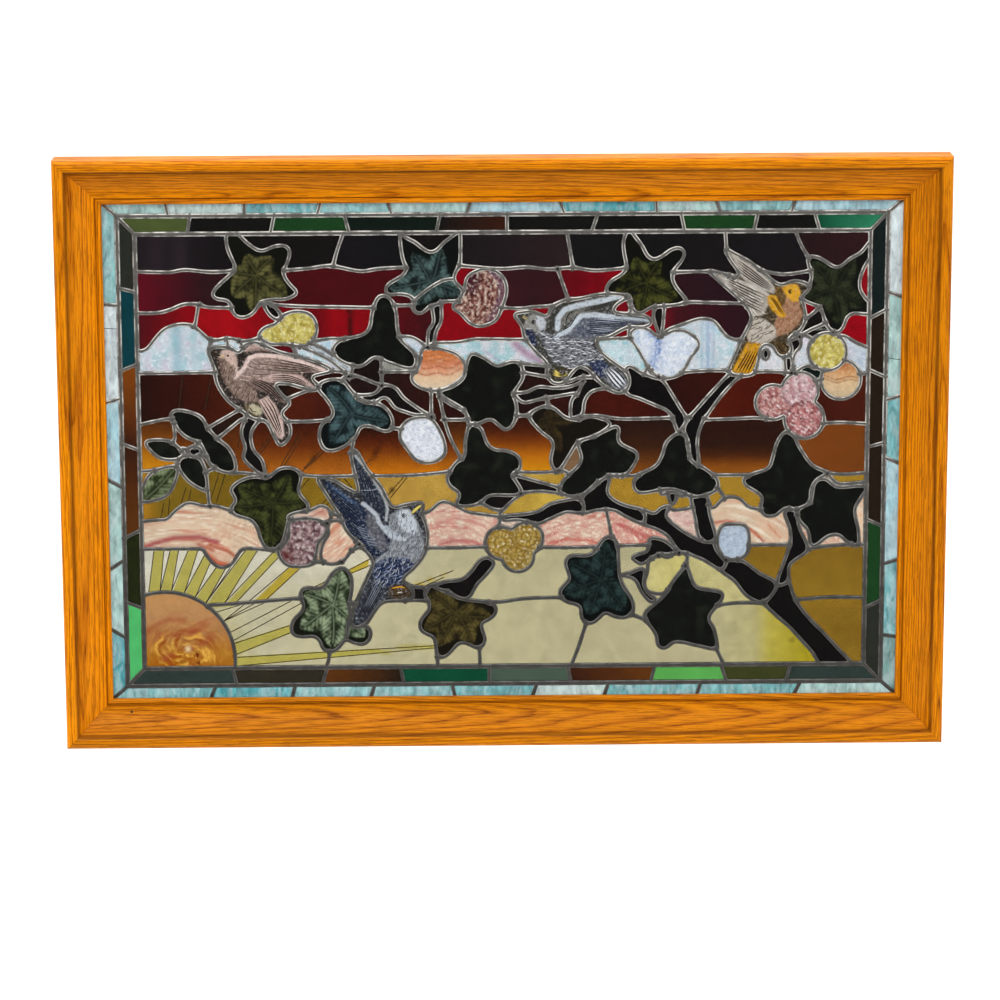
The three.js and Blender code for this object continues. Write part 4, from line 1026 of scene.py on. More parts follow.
def tinted_glass(name, roughness, see_through, ripple, height, streak=0.0, stretch=(1, 1, 1), milk=0.0):
    """Coloured glass: the colour comes from the tint of each pane, a little uneven, and the face is
    rippled from the rolling."""
    material, tree, shader = new_material(name)
    place = add(tree, "TexCoord").outputs["Object"]
    tint = add(tree, "Attribute", attribute_name="tint").outputs["Color"]
    drawn = add(tree, "Mapping", {"Vector": place, "Scale": stretch})
    wavy = add(tree, "TexNoise", {"Vector": drawn.outputs[0], "Scale": ripple, "Detail": 3.0,
                                  "Roughness": 0.55, "Distortion": 0.6})
    shade = add(tree, "MapRange", {"Value": wavy.outputs[0], 1: 0.3, 2: 0.7, 3: 1 - streak,
                                   4: 1 + streak * 0.5})
    deep = add(tree, "Mix", {"Factor": 1.0, "A": tint, "B": shade.outputs[0]}, data_type="RGBA",
               blend_type="MULTIPLY")
    colour = deep.outputs["Result"]
    if milk:  # wisps of white 5 to 15 mm long drawn through the batch
        wisp = add(tree, "TexNoise", {"Vector": drawn.outputs[0], "Scale": 46.0, "Detail": 4.0,
                                      "Distortion": 0.8})
        share = add(tree, "MapRange", {"Value": wisp.outputs[0], 1: 0.44, 2: 0.64, 3: 0.0, 4: milk})
        colour = add(tree, "Mix", {"Factor": share.outputs[0], "A": colour, "B": linear("#e6f4f6")},
                     data_type="RGBA").outputs["Result"]
    tree.links.new(colour, shader.inputs["Base Color"])
    relief = add(tree, "Bump", {"Height": wavy.outputs[0], "Strength": 0.5, "Distance": height})
    tree.links.new(relief.outputs[0], shader.inputs["Normal"])
    shader.inputs["Roughness"].default_value = roughness
    shader.inputs["IOR"].default_value = 1.5
    shader.inputs["Specular IOR Level"].default_value = 0.05
    shader.inputs["Transmission Weight"].default_value = see_through
    return material


def tint_points(made, colours):
    """Stores one linear colour for each vertex."""
    layer = made.data.attributes.new("tint", "FLOAT_COLOR", "POINT")
    rgba = np.ones((len(made.data.vertices), 4))
    rgba[:, :3] = colours
    layer.data.foreach_set("color", rgba.ravel())


def border(name, outside, inside_line, crosses, colours, material, node):
    vertices = []
    faces = []
    tints = []
    heart = 0.8  # the glass stops this far short of the line, in the heart of the lead
    out_x, out_z = outside[0] - heart, outside[1] - heart
    in_x, in_z = inside_line[0] + heart, inside_line[1] + heart
    for side, (tile_colours) in colours.items():
        flat = side in ("top", "bottom")
        sign = 1 if side in ("top", "right") else -1
        first = 1 if flat else -1  # left to right, or from the top down
        far = (out_x, in_x) if flat else (out_z, in_z)
        stops = [(-first * far[0], -first * far[1])] + crosses[side] + [(first * far[0], first * far[1])]
        for number, pair in enumerate(tile_colours):
            start, end = stops[number], stops[number + 1]
            gap = heart * first
            a, b, c, d = start[0] + gap, end[0] - gap, end[1] - gap, start[1] + gap
            if flat:
                corners = [(a, sign * out_z), (b, sign * out_z), (c, sign * in_z), (d, sign * in_z)]
            else:
                corners = [(sign * out_x, a), (sign * out_x, b), (sign * in_x, c), (sign * in_x, d)]
            k = len(vertices)
            vertices += [(x * MM, glass_front * MM, z * MM + middle) for x, z in corners]
            faces.append((k, k + 1, k + 2, k + 3))
            pair = pair if isinstance(pair, tuple) else (pair, pair)
            first_tint, last_tint = [linear(GLASS_STOCK[sheet_name])[:3] for sheet_name in pair]
            tints += [first_tint, last_tint, last_tint, first_tint]
    made = piece(name, vertices, faces, material)
    tint_points(made, tints)
    bpy.ops.object.mode_set(mode="EDIT")
    bpy.ops.mesh.select_all(action="SELECT")
    thickness = (glass_back - glass_front) * MM
    bpy.ops.mesh.extrude_region_move(TRANSFORM_OT_translate={"value": (0, thickness, 0)})
    bpy.ops.mesh.select_all(action="SELECT")
    bpy.ops.mesh.normals_make_consistent(inside=False)
    bpy.ops.object.mode_set(mode="OBJECT")
    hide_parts(node)
    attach(made, "root")
    short = []
    for side, pairs in crosses.items():
        sign = 1 if side in ("top", "right") else -1
        for a, b in pairs:
            if side in ("top", "bottom"):
                short.append(straight((a, sign * outside[1]), (b, sign * inside_line[1]), CAME))
            else:
                short.append(straight((sign * outside[0], a), (sign * inside_line[0], b), CAME))
    for sx in (-1, 1):
        for sz in (-1, 1):
            short.append(straight((sx * outside[0], sz * outside[1]),
                                  (sx * inside_line[0], sz * inside_line[1]), CAME))
    for x, z in [((part[0][0][0] + part[0][6][0]) / 2,
                  (part[0][0][2] + part[0][6][2]) / 2) for part in short]:
        short.append(solder_joint(x, z, 3.2, x + z))
    came_object(name + "_leads", short, old_lead)


rippled = tinted_glass("rippled_turquoise_glass", 0.18, 0.5, 60.0, 0.0034, 0.45, (2.2, 1, 0.9), 0.35)
cathedral = tinted_glass("rolled_cathedral_glass", 0.12, 0.92, 38.0, 0.0008, 0.12)
border("turquoise_border", edge_line, OUTER_LINE, outer_crosses, turquoise, rippled, "outer_border")
border("dark_border", OUTER_LINE, FIELD, inner_crosses, dark_tiles, cathedral, "inner_border")


# ---------------------------------------------------------------- sky and ground
# Bands of sheet glass, each cut to the drawing: plum and crimson flashed glass at the top, milky
# clouds, browns and ambers, streaky pink clouds, then pale ground with the sun's rays painted on.
def grade(t, *stops):
    """Colours at t between stops of position and hex colour."""
    places = [stop[0] for stop in stops]
    mixed = np.array([linear(stop[1])[:3] for stop in stops]) ** (1 / 2.2)
    return np.stack([np.interp(t, places, mixed[:, k]) for k in range(3)], axis=-1) ** 2.2


def mottle(points, size, seed=0.0, stretch=1.0, layers=3):
    """Cloudy noise, from about 0 to 1; stretch draws it out sideways."""
    return 0.5 + 0.62 * np.array([noise.fractal(Vector((x / size / stretch, z / size, seed)), 1.0, 2.0,
                                                layers)
                                  for x, z in points])


def blend(under, over, amount):
    amount = np.clip(amount, 0, 1)[:, None]
    return under * (1 - amount) + np.array(over) * amount


def hexa(colour):
    return np.array(linear(colour)[:3])


def flat(points, colour):
    return np.tile(hexa(colour), (len(points), 1))


def beside(points, run):
    """How far each point lies from a bent line."""
    best = np.full(len(points), 1e9)
    for (ax, az), (bx, bz) in zip(run[:-1], run[1:]):
        dx, dz = bx - ax, bz - az
        t = ((points[:, 0] - ax) * dx + (points[:, 1] - az) * dz) / (dx * dx + dz * dz + 1e-9)
        t = np.clip(t, 0, 1)
        best = np.minimum(best, np.hypot(points[:, 0] - ax - t * dx, points[:, 1] - az - t * dz))
    return best


def within(points, outline, width=2.0):
    """1 inside an outline and 0 outside, fading over the given width."""
    edge = beside(points, list(outline) + [outline[0]])
    return np.clip(np.where(inside(points, list(outline)), edge, -edge) / width + 0.5, 0, 1)


def sheet(direction, *stops):
    """A sheet whose colour changes along x or z."""
    def tint(points, number):
        t = points[:, 0] if direction == "x" else points[:, 1]
        made = grade(t, *stops)
        return made * (0.9 + 0.2 * mottle(points, 12, 5.0))[:, None]
    return tint


def milky(blue, violet, streaks=()):
    """Opalescent white with aqua and lavender clouds and fine pale specks."""
    def tint(points, number):
        made = grade(mottle(points, 15, 2.0, 0.8), (0.25, blue), (0.5, "#d3dee6"), (0.75, violet))
        fine = mottle(points, 3.2, 9.0)
        made = blend(made, hexa("#eef2f6"), (fine - 0.62) * 3)
        made = blend(made, hexa("#a9bfd0"), (0.34 - fine) * 2)
        for x, width, colour in streaks:
            made = blend(made, hexa(colour), 0.7 * np.exp(-((points[:, 0] - x) / width) ** 2))
        return made
    return tint


def striped(cx, cz, spacing, squash, deep, pale, seed, accents=()):
    """Streaky pink cloud glass: curved bands about a far centre, salmon on cream."""
    def tint(points, number):
        reach = np.hypot(points[:, 0] - cx, (points[:, 1] - cz) * squash)
        reach = reach + 6 * mottle(points, 45, seed, 2.0)
        drawn = np.stack([reach * 1.0, np.arctan2(points[:, 1] - cz, points[:, 0] - cx) * 14], axis=1)
        broad = mottle(drawn, spacing * 0.55, seed + 3)
        fine = mottle(drawn, spacing * 0.22, seed + 5, layers=2)
        made = blend(flat(points, pale), hexa(deep), np.clip(broad - 0.47, 0, 1) * 2.2)
        made = blend(made, hexa(deep), np.clip(fine - 0.58, 0, 1) * 1.6)
        made = blend(made, hexa("#f0e4d4"), np.clip(0.46 - fine, 0, 1) * 3.0)
        for run, width, colour in accents:
            made = blend(made, hexa(colour), 0.9 * np.exp(-(beside(points, run) / width) ** 2))
        return made * (0.97, 1.0, 0.94)
    return tint


def with_marks(base, *marks):
    """A sheet with dark or light marks on it: line, half width, colour, strength."""
    def tint(points, number):
        made = base(points, number)
        for run, width, colour, strength in marks:
            made = blend(made, hexa(colour), strength * np.exp(-(beside(points, run) / width) ** 2))
        return made
    return tint


BLACK = sheet("x", (-470, "#100c0c"), (470, "#120e0d"))
yellow_wedges = [
    [(-458, -131), (-445, -131), (-451, -185), (-466, -188)],
    [(-437, -131), (-426, -131), (-436, -184), (-450, -184)],
    [(-414, -131), (-401, -131), (-419, -186), (-435, -186)],
    [(-393, -136), (-385, -147), (-404, -190), (-418, -187)],
    [(-378, -153), (-366, -156), (-390, -198), (-403, -192)],
    [(-340, -132), (-324, -132), (-366, -200), (-389, -200)],
    [(-304, -134), (-297, -141), (-352, -200), (-364, -200)],
    [(-283, -154), (-267, -154), (-310, -195), (-326, -196)],
    [(-246, -179), (-232, -171), (-235, -176)],
    [(-202, -156), (-177, -143), (-178, -152), (-202, -162)],
    [(-355, -255), (-281, -231), (-281, -241), (-355, -271)],
    [(-354, -274), (-92, -260), (-92, -263), (-354, -286)],
    [(-122, -180), (-70, -160), (-106, -180)],
]
ray_lines = [
    [(-458, -131), (-466, -187)], [(-445, -131), (-451, -185)], [(-437, -131), (-450, -181)],
    [(-426, -131), (-436, -184)], [(-414, -131), (-436, -183)], [(-401, -131), (-419, -186)],
    [(-392, -136), (-418, -184)], [(-385, -147), (-404, -190)], [(-378, -154), (-403, -189)],
    [(-366, -156), (-390, -198)], [(-360, -155), (-389, -197)], [(-340, -132), (-390, -198)],
    [(-324, -132), (-366, -199)], [(-304, -134), (-365, -198)], [(-297, -141), (-352, -200)],
    [(-283, -154), (-336, -199)], [(-267, -154), (-311, -195)], [(-232, -171), (-246, -178)],
    [(-177, -143), (-202, -156)], [(-178, -152), (-202, -162)], [(-283, -200), (-360, -240)],
    [(-266, -201), (-356, -251)], [(-342, -203), (-369, -225)], [(-316, -201), (-367, -224)],
    [(-350, -204), (-376, -212)], [(-331, -203), (-364, -222)], [(-281, -231), (-355, -255)],
    [(-281, -241), (-355, -271)], [(-92, -260), (-354, -274)], [(-92, -263), (-354, -286)],
    [(-70, -160), (-122, -180)], [(-82, -169), (-106, -180)],
    [(-371, -27), (-382, -60)], [(-363, -28), (-374, -62)], [(-415, -48), (-420, -63)],
    [(-408, -50), (-411, -62)], [(-444, -68), (-448, -86)], [(-436, -63), (-438, -81)],
    [(-252, -32), (-262, -44)], [(-227, -58), (-240, -70)], [(-224, -63), (-234, -72)],
    [(-304, 23), (-317, 5)], [(-299, 22), (-314, 3)], [(-268, 22), (-292, -20)], [(-265, 17), (-288, -20)],
    [(-232, 3), (-260, -22)], [(-236, 5), (-258, -18)], [(-340, 38), (-345, 12)], [(-415, 107), (-421, 60)],
    [(-379, 99), (-387, 62)], [(-130, -32), (-150, -55)], [(-126, -33), (-146, -58)],
    [(-214, -35), (-222, -41)], [(-208, -34), (-200, -44)], [(-176, -12), (-186, -20)],
]


def ground(points, number):
    """Pale khaki sheet, with the rays laid on in silver stain."""
    x, z = points.T
    made = grade(x + 25 * mottle(points, 60, 4.0), (-470, "#c9c5b2"), (-250, "#c3bc9a"), (0, "#beb790"),
                 (200, "#bab28c"))
    made = blend(made, hexa("#dcd8c6"), 0.7 * np.clip((z + 205) / 60, 0, 1) * np.clip((-90 - x) / 120, 0, 1))
    near_sun = np.hypot(x + 445, z + 278)
    for wedge in yellow_wedges:
        if len(wedge) == 4:  # drawn out under the lead at both ends
            (a, b, c, d) = map(np.array, wedge)
            wedge = [tuple(a + (a - d) * 0.07), tuple(b + (b - c) * 0.07), tuple(c + (c - b) * 0.09),
                     tuple(d + (d - a) * 0.09)]
        bright = -290 < wedge[0][0] < -119
        made = blend(made, hexa("#b8a12c" if bright else "#b2a84c"), 0.95 * within(points, wedge, 0.8))
    return blend(made, hexa("#b4a95c"), 0.45 * np.clip((130 - near_sun) / 40, 0, 1) * (z < -200))


gold = sheet("x", (-470, "#ad7a1c"), (-445, "#7d6318"), (-350, "#7a5f16"), (-150, "#95741d"), (0, "#ab842a"),
             (480, "#a9832a"))
deep_gold = sheet("z", (-290, "#8e6f22"), (-250, "#84641a"), (-205, "#8d6c1f"), (-195, "#907020"),
                  (-130, "#86651c"))
PANE_COLOURS = {
    # plum and black above
    (-415, 264): sheet("x", (-472, "#1d171b"), (-445, "#2b2027"), (-430, "#211a1f"), (-415, "#2b2127"),
                       (-398, "#1b1519"), (-365, "#141013")),
    (-290, 266): sheet("x", (-360, "#100e10"), (-210, "#151113")),
    (-170, 268): sheet("x", (-210, "#131013"), (-130, "#110f12")),
    (-93, 279): BLACK,
    (0, 266): sheet("x", (-52, "#1a1417"), (0, "#20171a"), (80, "#2a1b1c")),
    (125, 265): sheet("x", (85, "#141214"), (155, "#100f10")),
    (240, 268): sheet("x", (160, "#0f0f10"), (285, "#161214")),
    (343, 266): sheet("x", (288, "#141214"), (380, "#171316")),
    (424, 276): sheet("x", (380, "#241214"), (470, "#311518")),
    (369, 227): sheet("x", (330, "#231016"), (400, "#1a0f14")),
    # crimson
    (-425, 215): sheet("x", (-472, "#61081a"), (-425, "#4b0c18"), (-385, "#2d1116")),
    # the dark vertical band at x -199 is a painted shadow of something standing behind the panel, seen
    # through the crimson
    (-216, 218): with_marks(sheet("x", (-290, "#33080f"), (-250, "#4c0812"), (-205, "#6c0411"),
                                  (-150, "#87000e")),
                            ([(-199, 245), (-199, 190)], 3.5, "#2c070c", 0.85),
                            ([(-225, 197), (-205, 203)], 0.8, "#c08a90", 0.7),
                            ([(-196, 197), (-184, 201)], 0.8, "#c08a90", 0.7)),
    (30, 218): sheet("x", (-60, "#87000f"), (-42, "#7a0210"), (-2, "#3a141a"), (40, "#301217"),
                     (80, "#371016")),
    (108, 224): sheet("x", (80, "#620210"), (160, "#8c0010")),
    (250, 215): sheet("x", (220, "#2c1017"), (300, "#25101a")),
    # scarlet
    (-444, 178): sheet("x", (-472, "#4f0b14"), (-440, "#6d0712"), (-405, "#8c0210")),
    (-350, 175): sheet("x", (-395, "#9c0612"), (-350, "#a90713"), (-310, "#8a0410")),
    # the dark vertical band at x -198 is the same painted shadow, seen through the scarlet
    (-218, 172): with_marks(sheet("x", (-240, "#6d030e"), (-215, "#94010e"), (-180, "#86020f")),
                            ([(-198, 195), (-198, 150)], 3.4, "#2a0708", 0.9)),
    (-116, 170): sheet("x", (-140, "#5c0710"), (-100, "#3f0b11")),
    (-20, 170): sheet("x", (-82, "#7f010f"), (-40, "#a00010"), (22, "#86000f")),
    (145, 197): sheet("x", (140, "#7a0510"), (160, "#5e0710")),
    (155, 157): sheet("x", (120, "#4c0a10"), (175, "#920212")),
    (225, 176): sheet("x", (205, "#740816"), (225, "#420f18"), (300, "#2c1018")),
    (252, 185): sheet("x", (205, "#740816"), (225, "#420f18"), (300, "#2c1018")),
    (397, 186): sheet("x", (385, "#8d0013"), (410, "#70000f")),
    (456, 155): sheet("x", (440, "#85000f"), (474, "#96000f")),
    (-129, 199): sheet("x", (-140, "#4a070e"), (-110, "#3c090f")),
    # clouds
    (-420, 130): milky("#b4d3dc", "#d2d0de", ((-422, 7, "#8fbccb"), (-400, 4, "#b6d3dd"))),
    (-240, 148): milky("#b3cfe0", "#ccd6e2"),
    (-225, 125): milky("#b4d6de", "#cdd0dc"),
    (-122, 143): milky("#bcd2e4", "#d3d8e6"),
    (-20, 130): with_marks(milky("#a9d3d8", "#dfe0e6", ((-38, 7, "#a8cbd6"), (-10, 5, "#9fccd3"))),
                           ([(16, 142), (32, 128), (50, 118)], 6.0, "#a87a98", 0.8),
                           ([(-25, 133), (-5, 120)], 1.6, "#b58ab0", 0.6)),
    (145, 135): milky("#a7d3da", "#c5e0e6"),
    (240, 150): milky("#aed5dc", "#c9dde8"),
    (265, 130): milky("#b7d3dd", "#d4d6de", ((265, 3.0, "#93aed0"), (257, 2.0, "#a3c4d4"),
                                             (272, 2.5, "#a9bfd4"))),
    (345, 113): milky("#d8d4d6", "#e2dde2"),
    (385, 118): milky("#cfc9d6", "#ddd6e0"),
    (458, 125): milky("#b9c6d8", "#cfd0de"),
    # brown
    (-430, 80): with_marks(sheet("x", (-472, "#240a05"), (-440, "#300c05"), (-390, "#3d1205"),
                                 (-350, "#4c1a06")),
                           ([(-415, 107), (-421, 60)], 1.5, "#170705", 0.8),
                           ([(-379, 99), (-387, 62)], 1.5, "#1c0805", 0.8)),
    (-258, 65): sheet("x", (-290, "#541d07"), (-230, "#46160a")),
    (-265, 83): sheet("x", (-290, "#1a0e09"), (-240, "#5e2108")),
    (-290, 140): sheet("x", (-300, "#4a0710"), (-270, "#5c0812")),
    (-190, 110): BLACK,
    (-130, 92): sheet("x", (-160, "#24100e"), (-100, "#2d0e09")),
    (-130, 70): BLACK,
    (-165, 90): sheet("x", (-190, "#22100f"), (-140, "#1c0f0e")),
    (-175, 100): BLACK,
    (-70, 65): sheet("x", (-90, "#38130b"), (-50, "#3b170c")),
    (-60, 75): sheet("x", (-90, "#2d110c"), (-50, "#34150c")),
    (40, 105): BLACK,
    (40, 95): sheet("x", (20, "#230e0b"), (100, "#2a0f0b")),
    (30, 60): sheet("x", (20, "#230e0b"), (100, "#2a0f0b")),
    (55, 78): BLACK,
    (75, 65): sheet("x", (60, "#33100a"), (90, "#2c0d09")),
    (97, 60): BLACK,
    (96, 103): BLACK,
    (107, 88): BLACK,
    (150, 60): sheet("x", (105, "#3f0f05"), (150, "#461105"), (210, "#3b0d05")),
    (250, 80): sheet("x", (215, "#2a0b06"), (290, "#3a0e05")),
    (440, 60): sheet("x", (410, "#43140a"), (474, "#4c1a0a")),
    # amber
    (-450, 30): sheet("z", (-22, "#d68d12"), (0, "#b5700c"), (15, "#8a4c0e"), (45, "#4c2408")),
    (-350, 15): sheet("z", (-25, "#8a4a10"), (0, "#6a3409"), (40, "#4c2108")),
    (-405, 20): sheet("x", (-430, "#5a2c12"), (-400, "#4a2410")),
    (-365, 38): sheet("x", (-390, "#1c110d"), (-340, "#2d150b")),
    (-325, 10): BLACK,
    (-280, 10): with_marks(sheet("z", (-28, "#b8691a"), (-10, "#96500e"), (8, "#662b07"), (42, "#3a1205")),
                   ([(-300, 6), (-312, -22)], 1.2, "#3a1806", 0.8),
                   ([(-268, 14), (-285, -24)], 1.2, "#3a1806", 0.8),
                   ([(-245, 0), (-254, -25)], 1.2, "#3a1806", 0.8)),
    (-150, 0): with_marks(sheet("z", (-30, "#d27a0c"), (-14, "#a85c0a"), (0, "#7e3c07"), (14, "#541f05"),
                                (30, "#331004")),
                   ([(-172, 40), (-196, -18)], 1.2, "#2a1004", 0.8),
                   ([(-150, 36), (-178, -26)], 1.2, "#2a1004", 0.7)),
    (-65, 20): sheet("z", (-30, "#d8860e"), (0, "#a4600c"), (15, "#6e3808"), (42, "#341607")),
    (20, 10): with_marks(sheet("z", (-27, "#d58e0c"), (-5, "#b8690a"), (15, "#743406"), (30, "#471a05"),
                               (48, "#300d04")),
               ([(-30, 8), (-8, -26)], 9.0, "#d8920e", 0.35)),
    (90, -10): sheet("z", (-27, "#8a6a4c"), (0, "#7a5c40"), (45, "#4a3020")),
    (190, 10): sheet("z", (-32, "#8c5014"), (-14, "#66360e"), (5, "#3a1c0b"), (44, "#24100a")),
    (300, 10): with_marks(sheet("z", (-32, "#9c5c18"), (-20, "#86480e"), (-8, "#4d2409"), (5, "#2e1408"),
                                (40, "#2a1009")),
                ([(232, 20), (232, -20)], 12.0, "#80440f", 0.6),
                ([(378, 24), (378, -20)], 10.0, "#8a4c10", 0.6)),
    (440, 10): sheet("x", (405, "#84480e"), (422, "#5e2c09"), (450, "#3f1c08"), (474, "#301409")),
    (395, 0): sheet("x", (380, "#8a4b1a"), (410, "#7a3f12")),
    # gold
    (60, -33): sheet("x", (30, "#c8a44a"), (76, "#b08a30")),
    (45, -42): BLACK,
    (-10, -66): BLACK,
    (-25, -78): sheet("x", (-45, "#6a5a30"), (-8, "#86713c")),
    (201, 170): BLACK,
    (203, 165): BLACK,
    (370, 115): BLACK,
    (395, 106): sheet("x", (385, "#0c1a14"), (405, "#0e1c16")),
    (398, 168): BLACK,
    (377, 142): BLACK,
    (-89, 165): BLACK,
    (-113, -190): BLACK,
    # pink clouds
    (-400, -110): striped(-425, -245, 13.0, 1.2, "#cf8672", "#e2c6ae", 1.0, (
        ([(-470, -125), (-455, -119), (-430, -112), (-400, -111), (-375, -118)], 3.6, "#a83c4a"),
        ([(-395, -132), (-375, -148), (-365, -150)], 7.0, "#c24d2c"),
        ([(-385, -122), (-362, -130), (-352, -138)], 2.5, "#b4553c"),
        ([(-400, -121), (-380, -130)], 2.0, "#b8604c"))),
    (-60, -100): striped(-70, -175, 10.5, 1.0, "#d0807a", "#dfb9aa", 2.0, (
        ([(-85, -124), (-65, -118), (-40, -120), (-30, -126)], 3.0, "#c06a6c"),
        ([(-88, -98), (-65, -88), (-45, -92), (-25, -100)], 2.0, "#cf8a86"))),
    (0, -94): striped(0, -150, 8.0, 1.0, "#cfa097", "#d9bdb0", 3.0),
    (100, -105): striped(95, -190, 9.5, 1.0, "#c9776d", "#e0b5a8", 4.0, (
        ([(60, -123), (80, -118), (110, -119), (125, -124)], 2.5, "#cc6a60"),)),
    (165, -105): striped(120, -165, 11.0, 1.0, "#c4645e", "#dda79c", 5.0, (
        ([(150, -98), (175, -110), (195, -118)], 3.5, "#b95a56"),)),
    (235, -92): striped(250, -40, 9.0, 1.0, "#d29a98", "#dfbcb6", 6.0),
    (340, -100): striped(290, -190, 26.0, 1.0, "#d9a58e", "#e0c1a9", 7.0, (
        ([(275, -97), (292, -94), (312, -99), (328, -110), (340, -123)], 1.8, "#b43f35"),
        ([(322, -106), (335, -117)], 1.2, "#c8674a"),
        ([(345, -100), (362, -118)], 1.2, "#cf7e5c"))),
    (468, -92): striped(520, -90, 12.0, 1.0, "#e2a98c", "#eccdb6", 8.0),
    (428, -121): striped(428, -150, 9.0, 1.0, "#d79c8a", "#dcb6a2", 9.0),
    (392, -118): striped(380, -118, 9.0, 1.0, "#c99a8a", "#cfae9c", 9.0),
    # ground
    (345, -147): deep_gold,
    (430, -165): deep_gold,
    (440, -230): deep_gold,
    (270, -178): sheet("x", (240, "#c3ba80"), (310, "#c5bc84")),
    (330, -240): with_marks(sheet("x", (275, "#bdb58b"), (330, "#b9b07c"), (350, "#b8ab4a"),
                                  (400, "#a9981f")),
                            ([(290, -241), (370, -239)], 0.9, "#8d8452", 0.7),
                            ([(376, -257), (384, -258)], 1.6, "#5a4f1c", 0.9),
                            ([(380, -269), (386, -266)], 0.8, "#5a4f1c", 0.9),
                            ([(335, -233), (332, -230)], 1.2, "#8d8040", 0.8)),
    (-297, 141): sheet("x", (-310, "#430a10"), (-285, "#5c0812")),
    (-142, 113): sheet("z", (100, "#8b8c84"), (125, "#a2a29a")),
    (-328, 9): BLACK,
    (418, -119): striped(428, -150, 9.0, 1.0, "#85695a", "#94806c", 9.0),
    (-102, -54): with_marks(sheet("x", (-190, "#b38a38"), (-90, "#bd9844"), (-20, "#b18a3a")),
                    ([(-130, -32), (-150, -55)], 1.0, "#3a2c10", 0.9)),
    (-387, -13): sheet("z", (-22, "#54402c"), (0, "#6a5238")),
    (185, 171): sheet("x", (170, "#2a1216"), (200, "#1a0d10")),
    (468, 222): sheet("x", (455, "#7c0a16"), (474, "#940514")),
    (40, -66): sheet("x", (15, "#b8963c"), (60, "#cbab48")),
    (-175, 105): sheet("x", (-190, "#1c0d0b"), (-160, "#160a08")),
    (405, 160): with_marks(BLACK, ([(386, 152), (396, 158), (410, 161)], 0.8, "#b9b7b0", 0.9),
                  ([(400, 158), (416, 160), (428, 158)], 0.6, "#8d8b85", 0.9)),
    (450, 160): sheet("x", (436, "#8f000f"), (474, "#a00013")),
    (313, 72): sheet("x", (265, "#5a1a04"), (300, "#4f1203"), (345, "#4a1103")),
    (-224, 125): milky("#7f8a8f", "#9aa0a6"),
    (155, 190): sheet("x", (140, "#7a0514"), (170, "#74050f")),
    (-239, -126): striped(-230, -150, 9.0, 1.0, "#8a6456", "#a48c78", 9.0),
}
seeded = {}
for seed, tint in PANE_COLOURS.items():
    seeded[pane_at(*seed)] = tint


def sheet_tint(points, number):
    """Each pane by its own colour, or by the band that it lies in."""
    if number in seeded:
        return seeded[number](points, number)
    z = centres[number][1]
    if z > 195:
        return BLACK(points, number)
    if z > 152:
        return flat(points, "#8a0210")
    if z > 103:
        return milky("#b4d3dc", "#d2d0de")(points, number)
    if z > 44:
        return flat(points, "#2a0d08")
    if z > -27:
        return sheet("z", (-27, "#b0660a"), (0, "#8a4a0c"), (25, "#54260a"), (45, "#341408"))(points, number)
    if z > -78:
        return gold(points, number)
    if z > -128:
        return striped(200, -220, 12.0, 1.0, "#c97e6c", "#dfb7a4", 3.0)(points, number)
    return ground(points, number)


def pane_mesh(numbers):
    """The triangles of these panes, each pane with corners of its own, drawn back a little from the
    middle of the lead: front corners, triangles, and the edges round each pane."""
    corners = []
    facets = []
    rim = []
    owner = []
    first = 0
    for number in numbers:
        used, local = np.unique(triangles[panes[number]], return_inverse=True)
        local = local.reshape(-1, 3)
        place = spots[used].copy()
        a, b, c = (place[local[:, k]] for k in range(3))
        turned = (b[:, 0] - a[:, 0]) * (c[:, 1] - a[:, 1]) - (b[:, 1] - a[:, 1]) * (c[:, 0] - a[:, 0]) < 0
        local[turned] = local[turned][:, ::-1]
        directed = np.concatenate([local[:, [0, 1]], local[:, [1, 2]], local[:, [2, 0]]])
        present = set(map(tuple, directed.tolist()))
        edge = sorted((p, q) for p, q in present if (q, p) not in present)
        inward = np.zeros_like(place)
        for p, q in edge:
            dx, dz = place[q] - place[p]
            length = math.hypot(dx, dz) or 1
            for k in (p, q):
                inward[k] += (-dz / length, dx / length)
        size = np.hypot(inward[:, 0], inward[:, 1])
        place += inward / np.maximum(size, 0.8)[:, None] * 0.6
        corners.append(place)
        facets.append(local + first)
        rim += [(p + first, q + first) for p, q in edge]
        owner += [number] * len(place)
        first += len(place)
    return np.concatenate(corners), np.concatenate(facets), rim, np.array(owner)


SHEET_DEPTH = 0.76  # the open sheets are a little deeper than their painted neighbours


def glass(name, numbers, tint, material, nodes=()):
    corners, facets, rim, owner = pane_mesh(numbers)
    count = len(corners)
    vertices = np.zeros((count * 2, 3))
    for half, depth in ((0, glass_front), (1, glass_back)):
        vertices[half * count:(half + 1) * count] = np.stack(
            [corners[:, 0] * MM, np.full(count, depth * MM), corners[:, 1] * MM + middle], axis=1)
    faces = facets.tolist() + (facets[:, ::-1] + count).tolist()
    faces += [(q, p, p + count, q + count) for p, q in rim]
    made = piece(name, vertices.tolist(), faces, material)
    colours = np.zeros((count, 3))
    for number in numbers:
        chosen = owner == number
        colours[chosen] = tint(corners[chosen], number) * (SHEET_DEPTH if kinds[number] == "sky" else 1.03)
    tint_points(made, np.concatenate([colours, colours]))
    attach(made, "root")
    if nodes:
        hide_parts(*nodes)
    return made


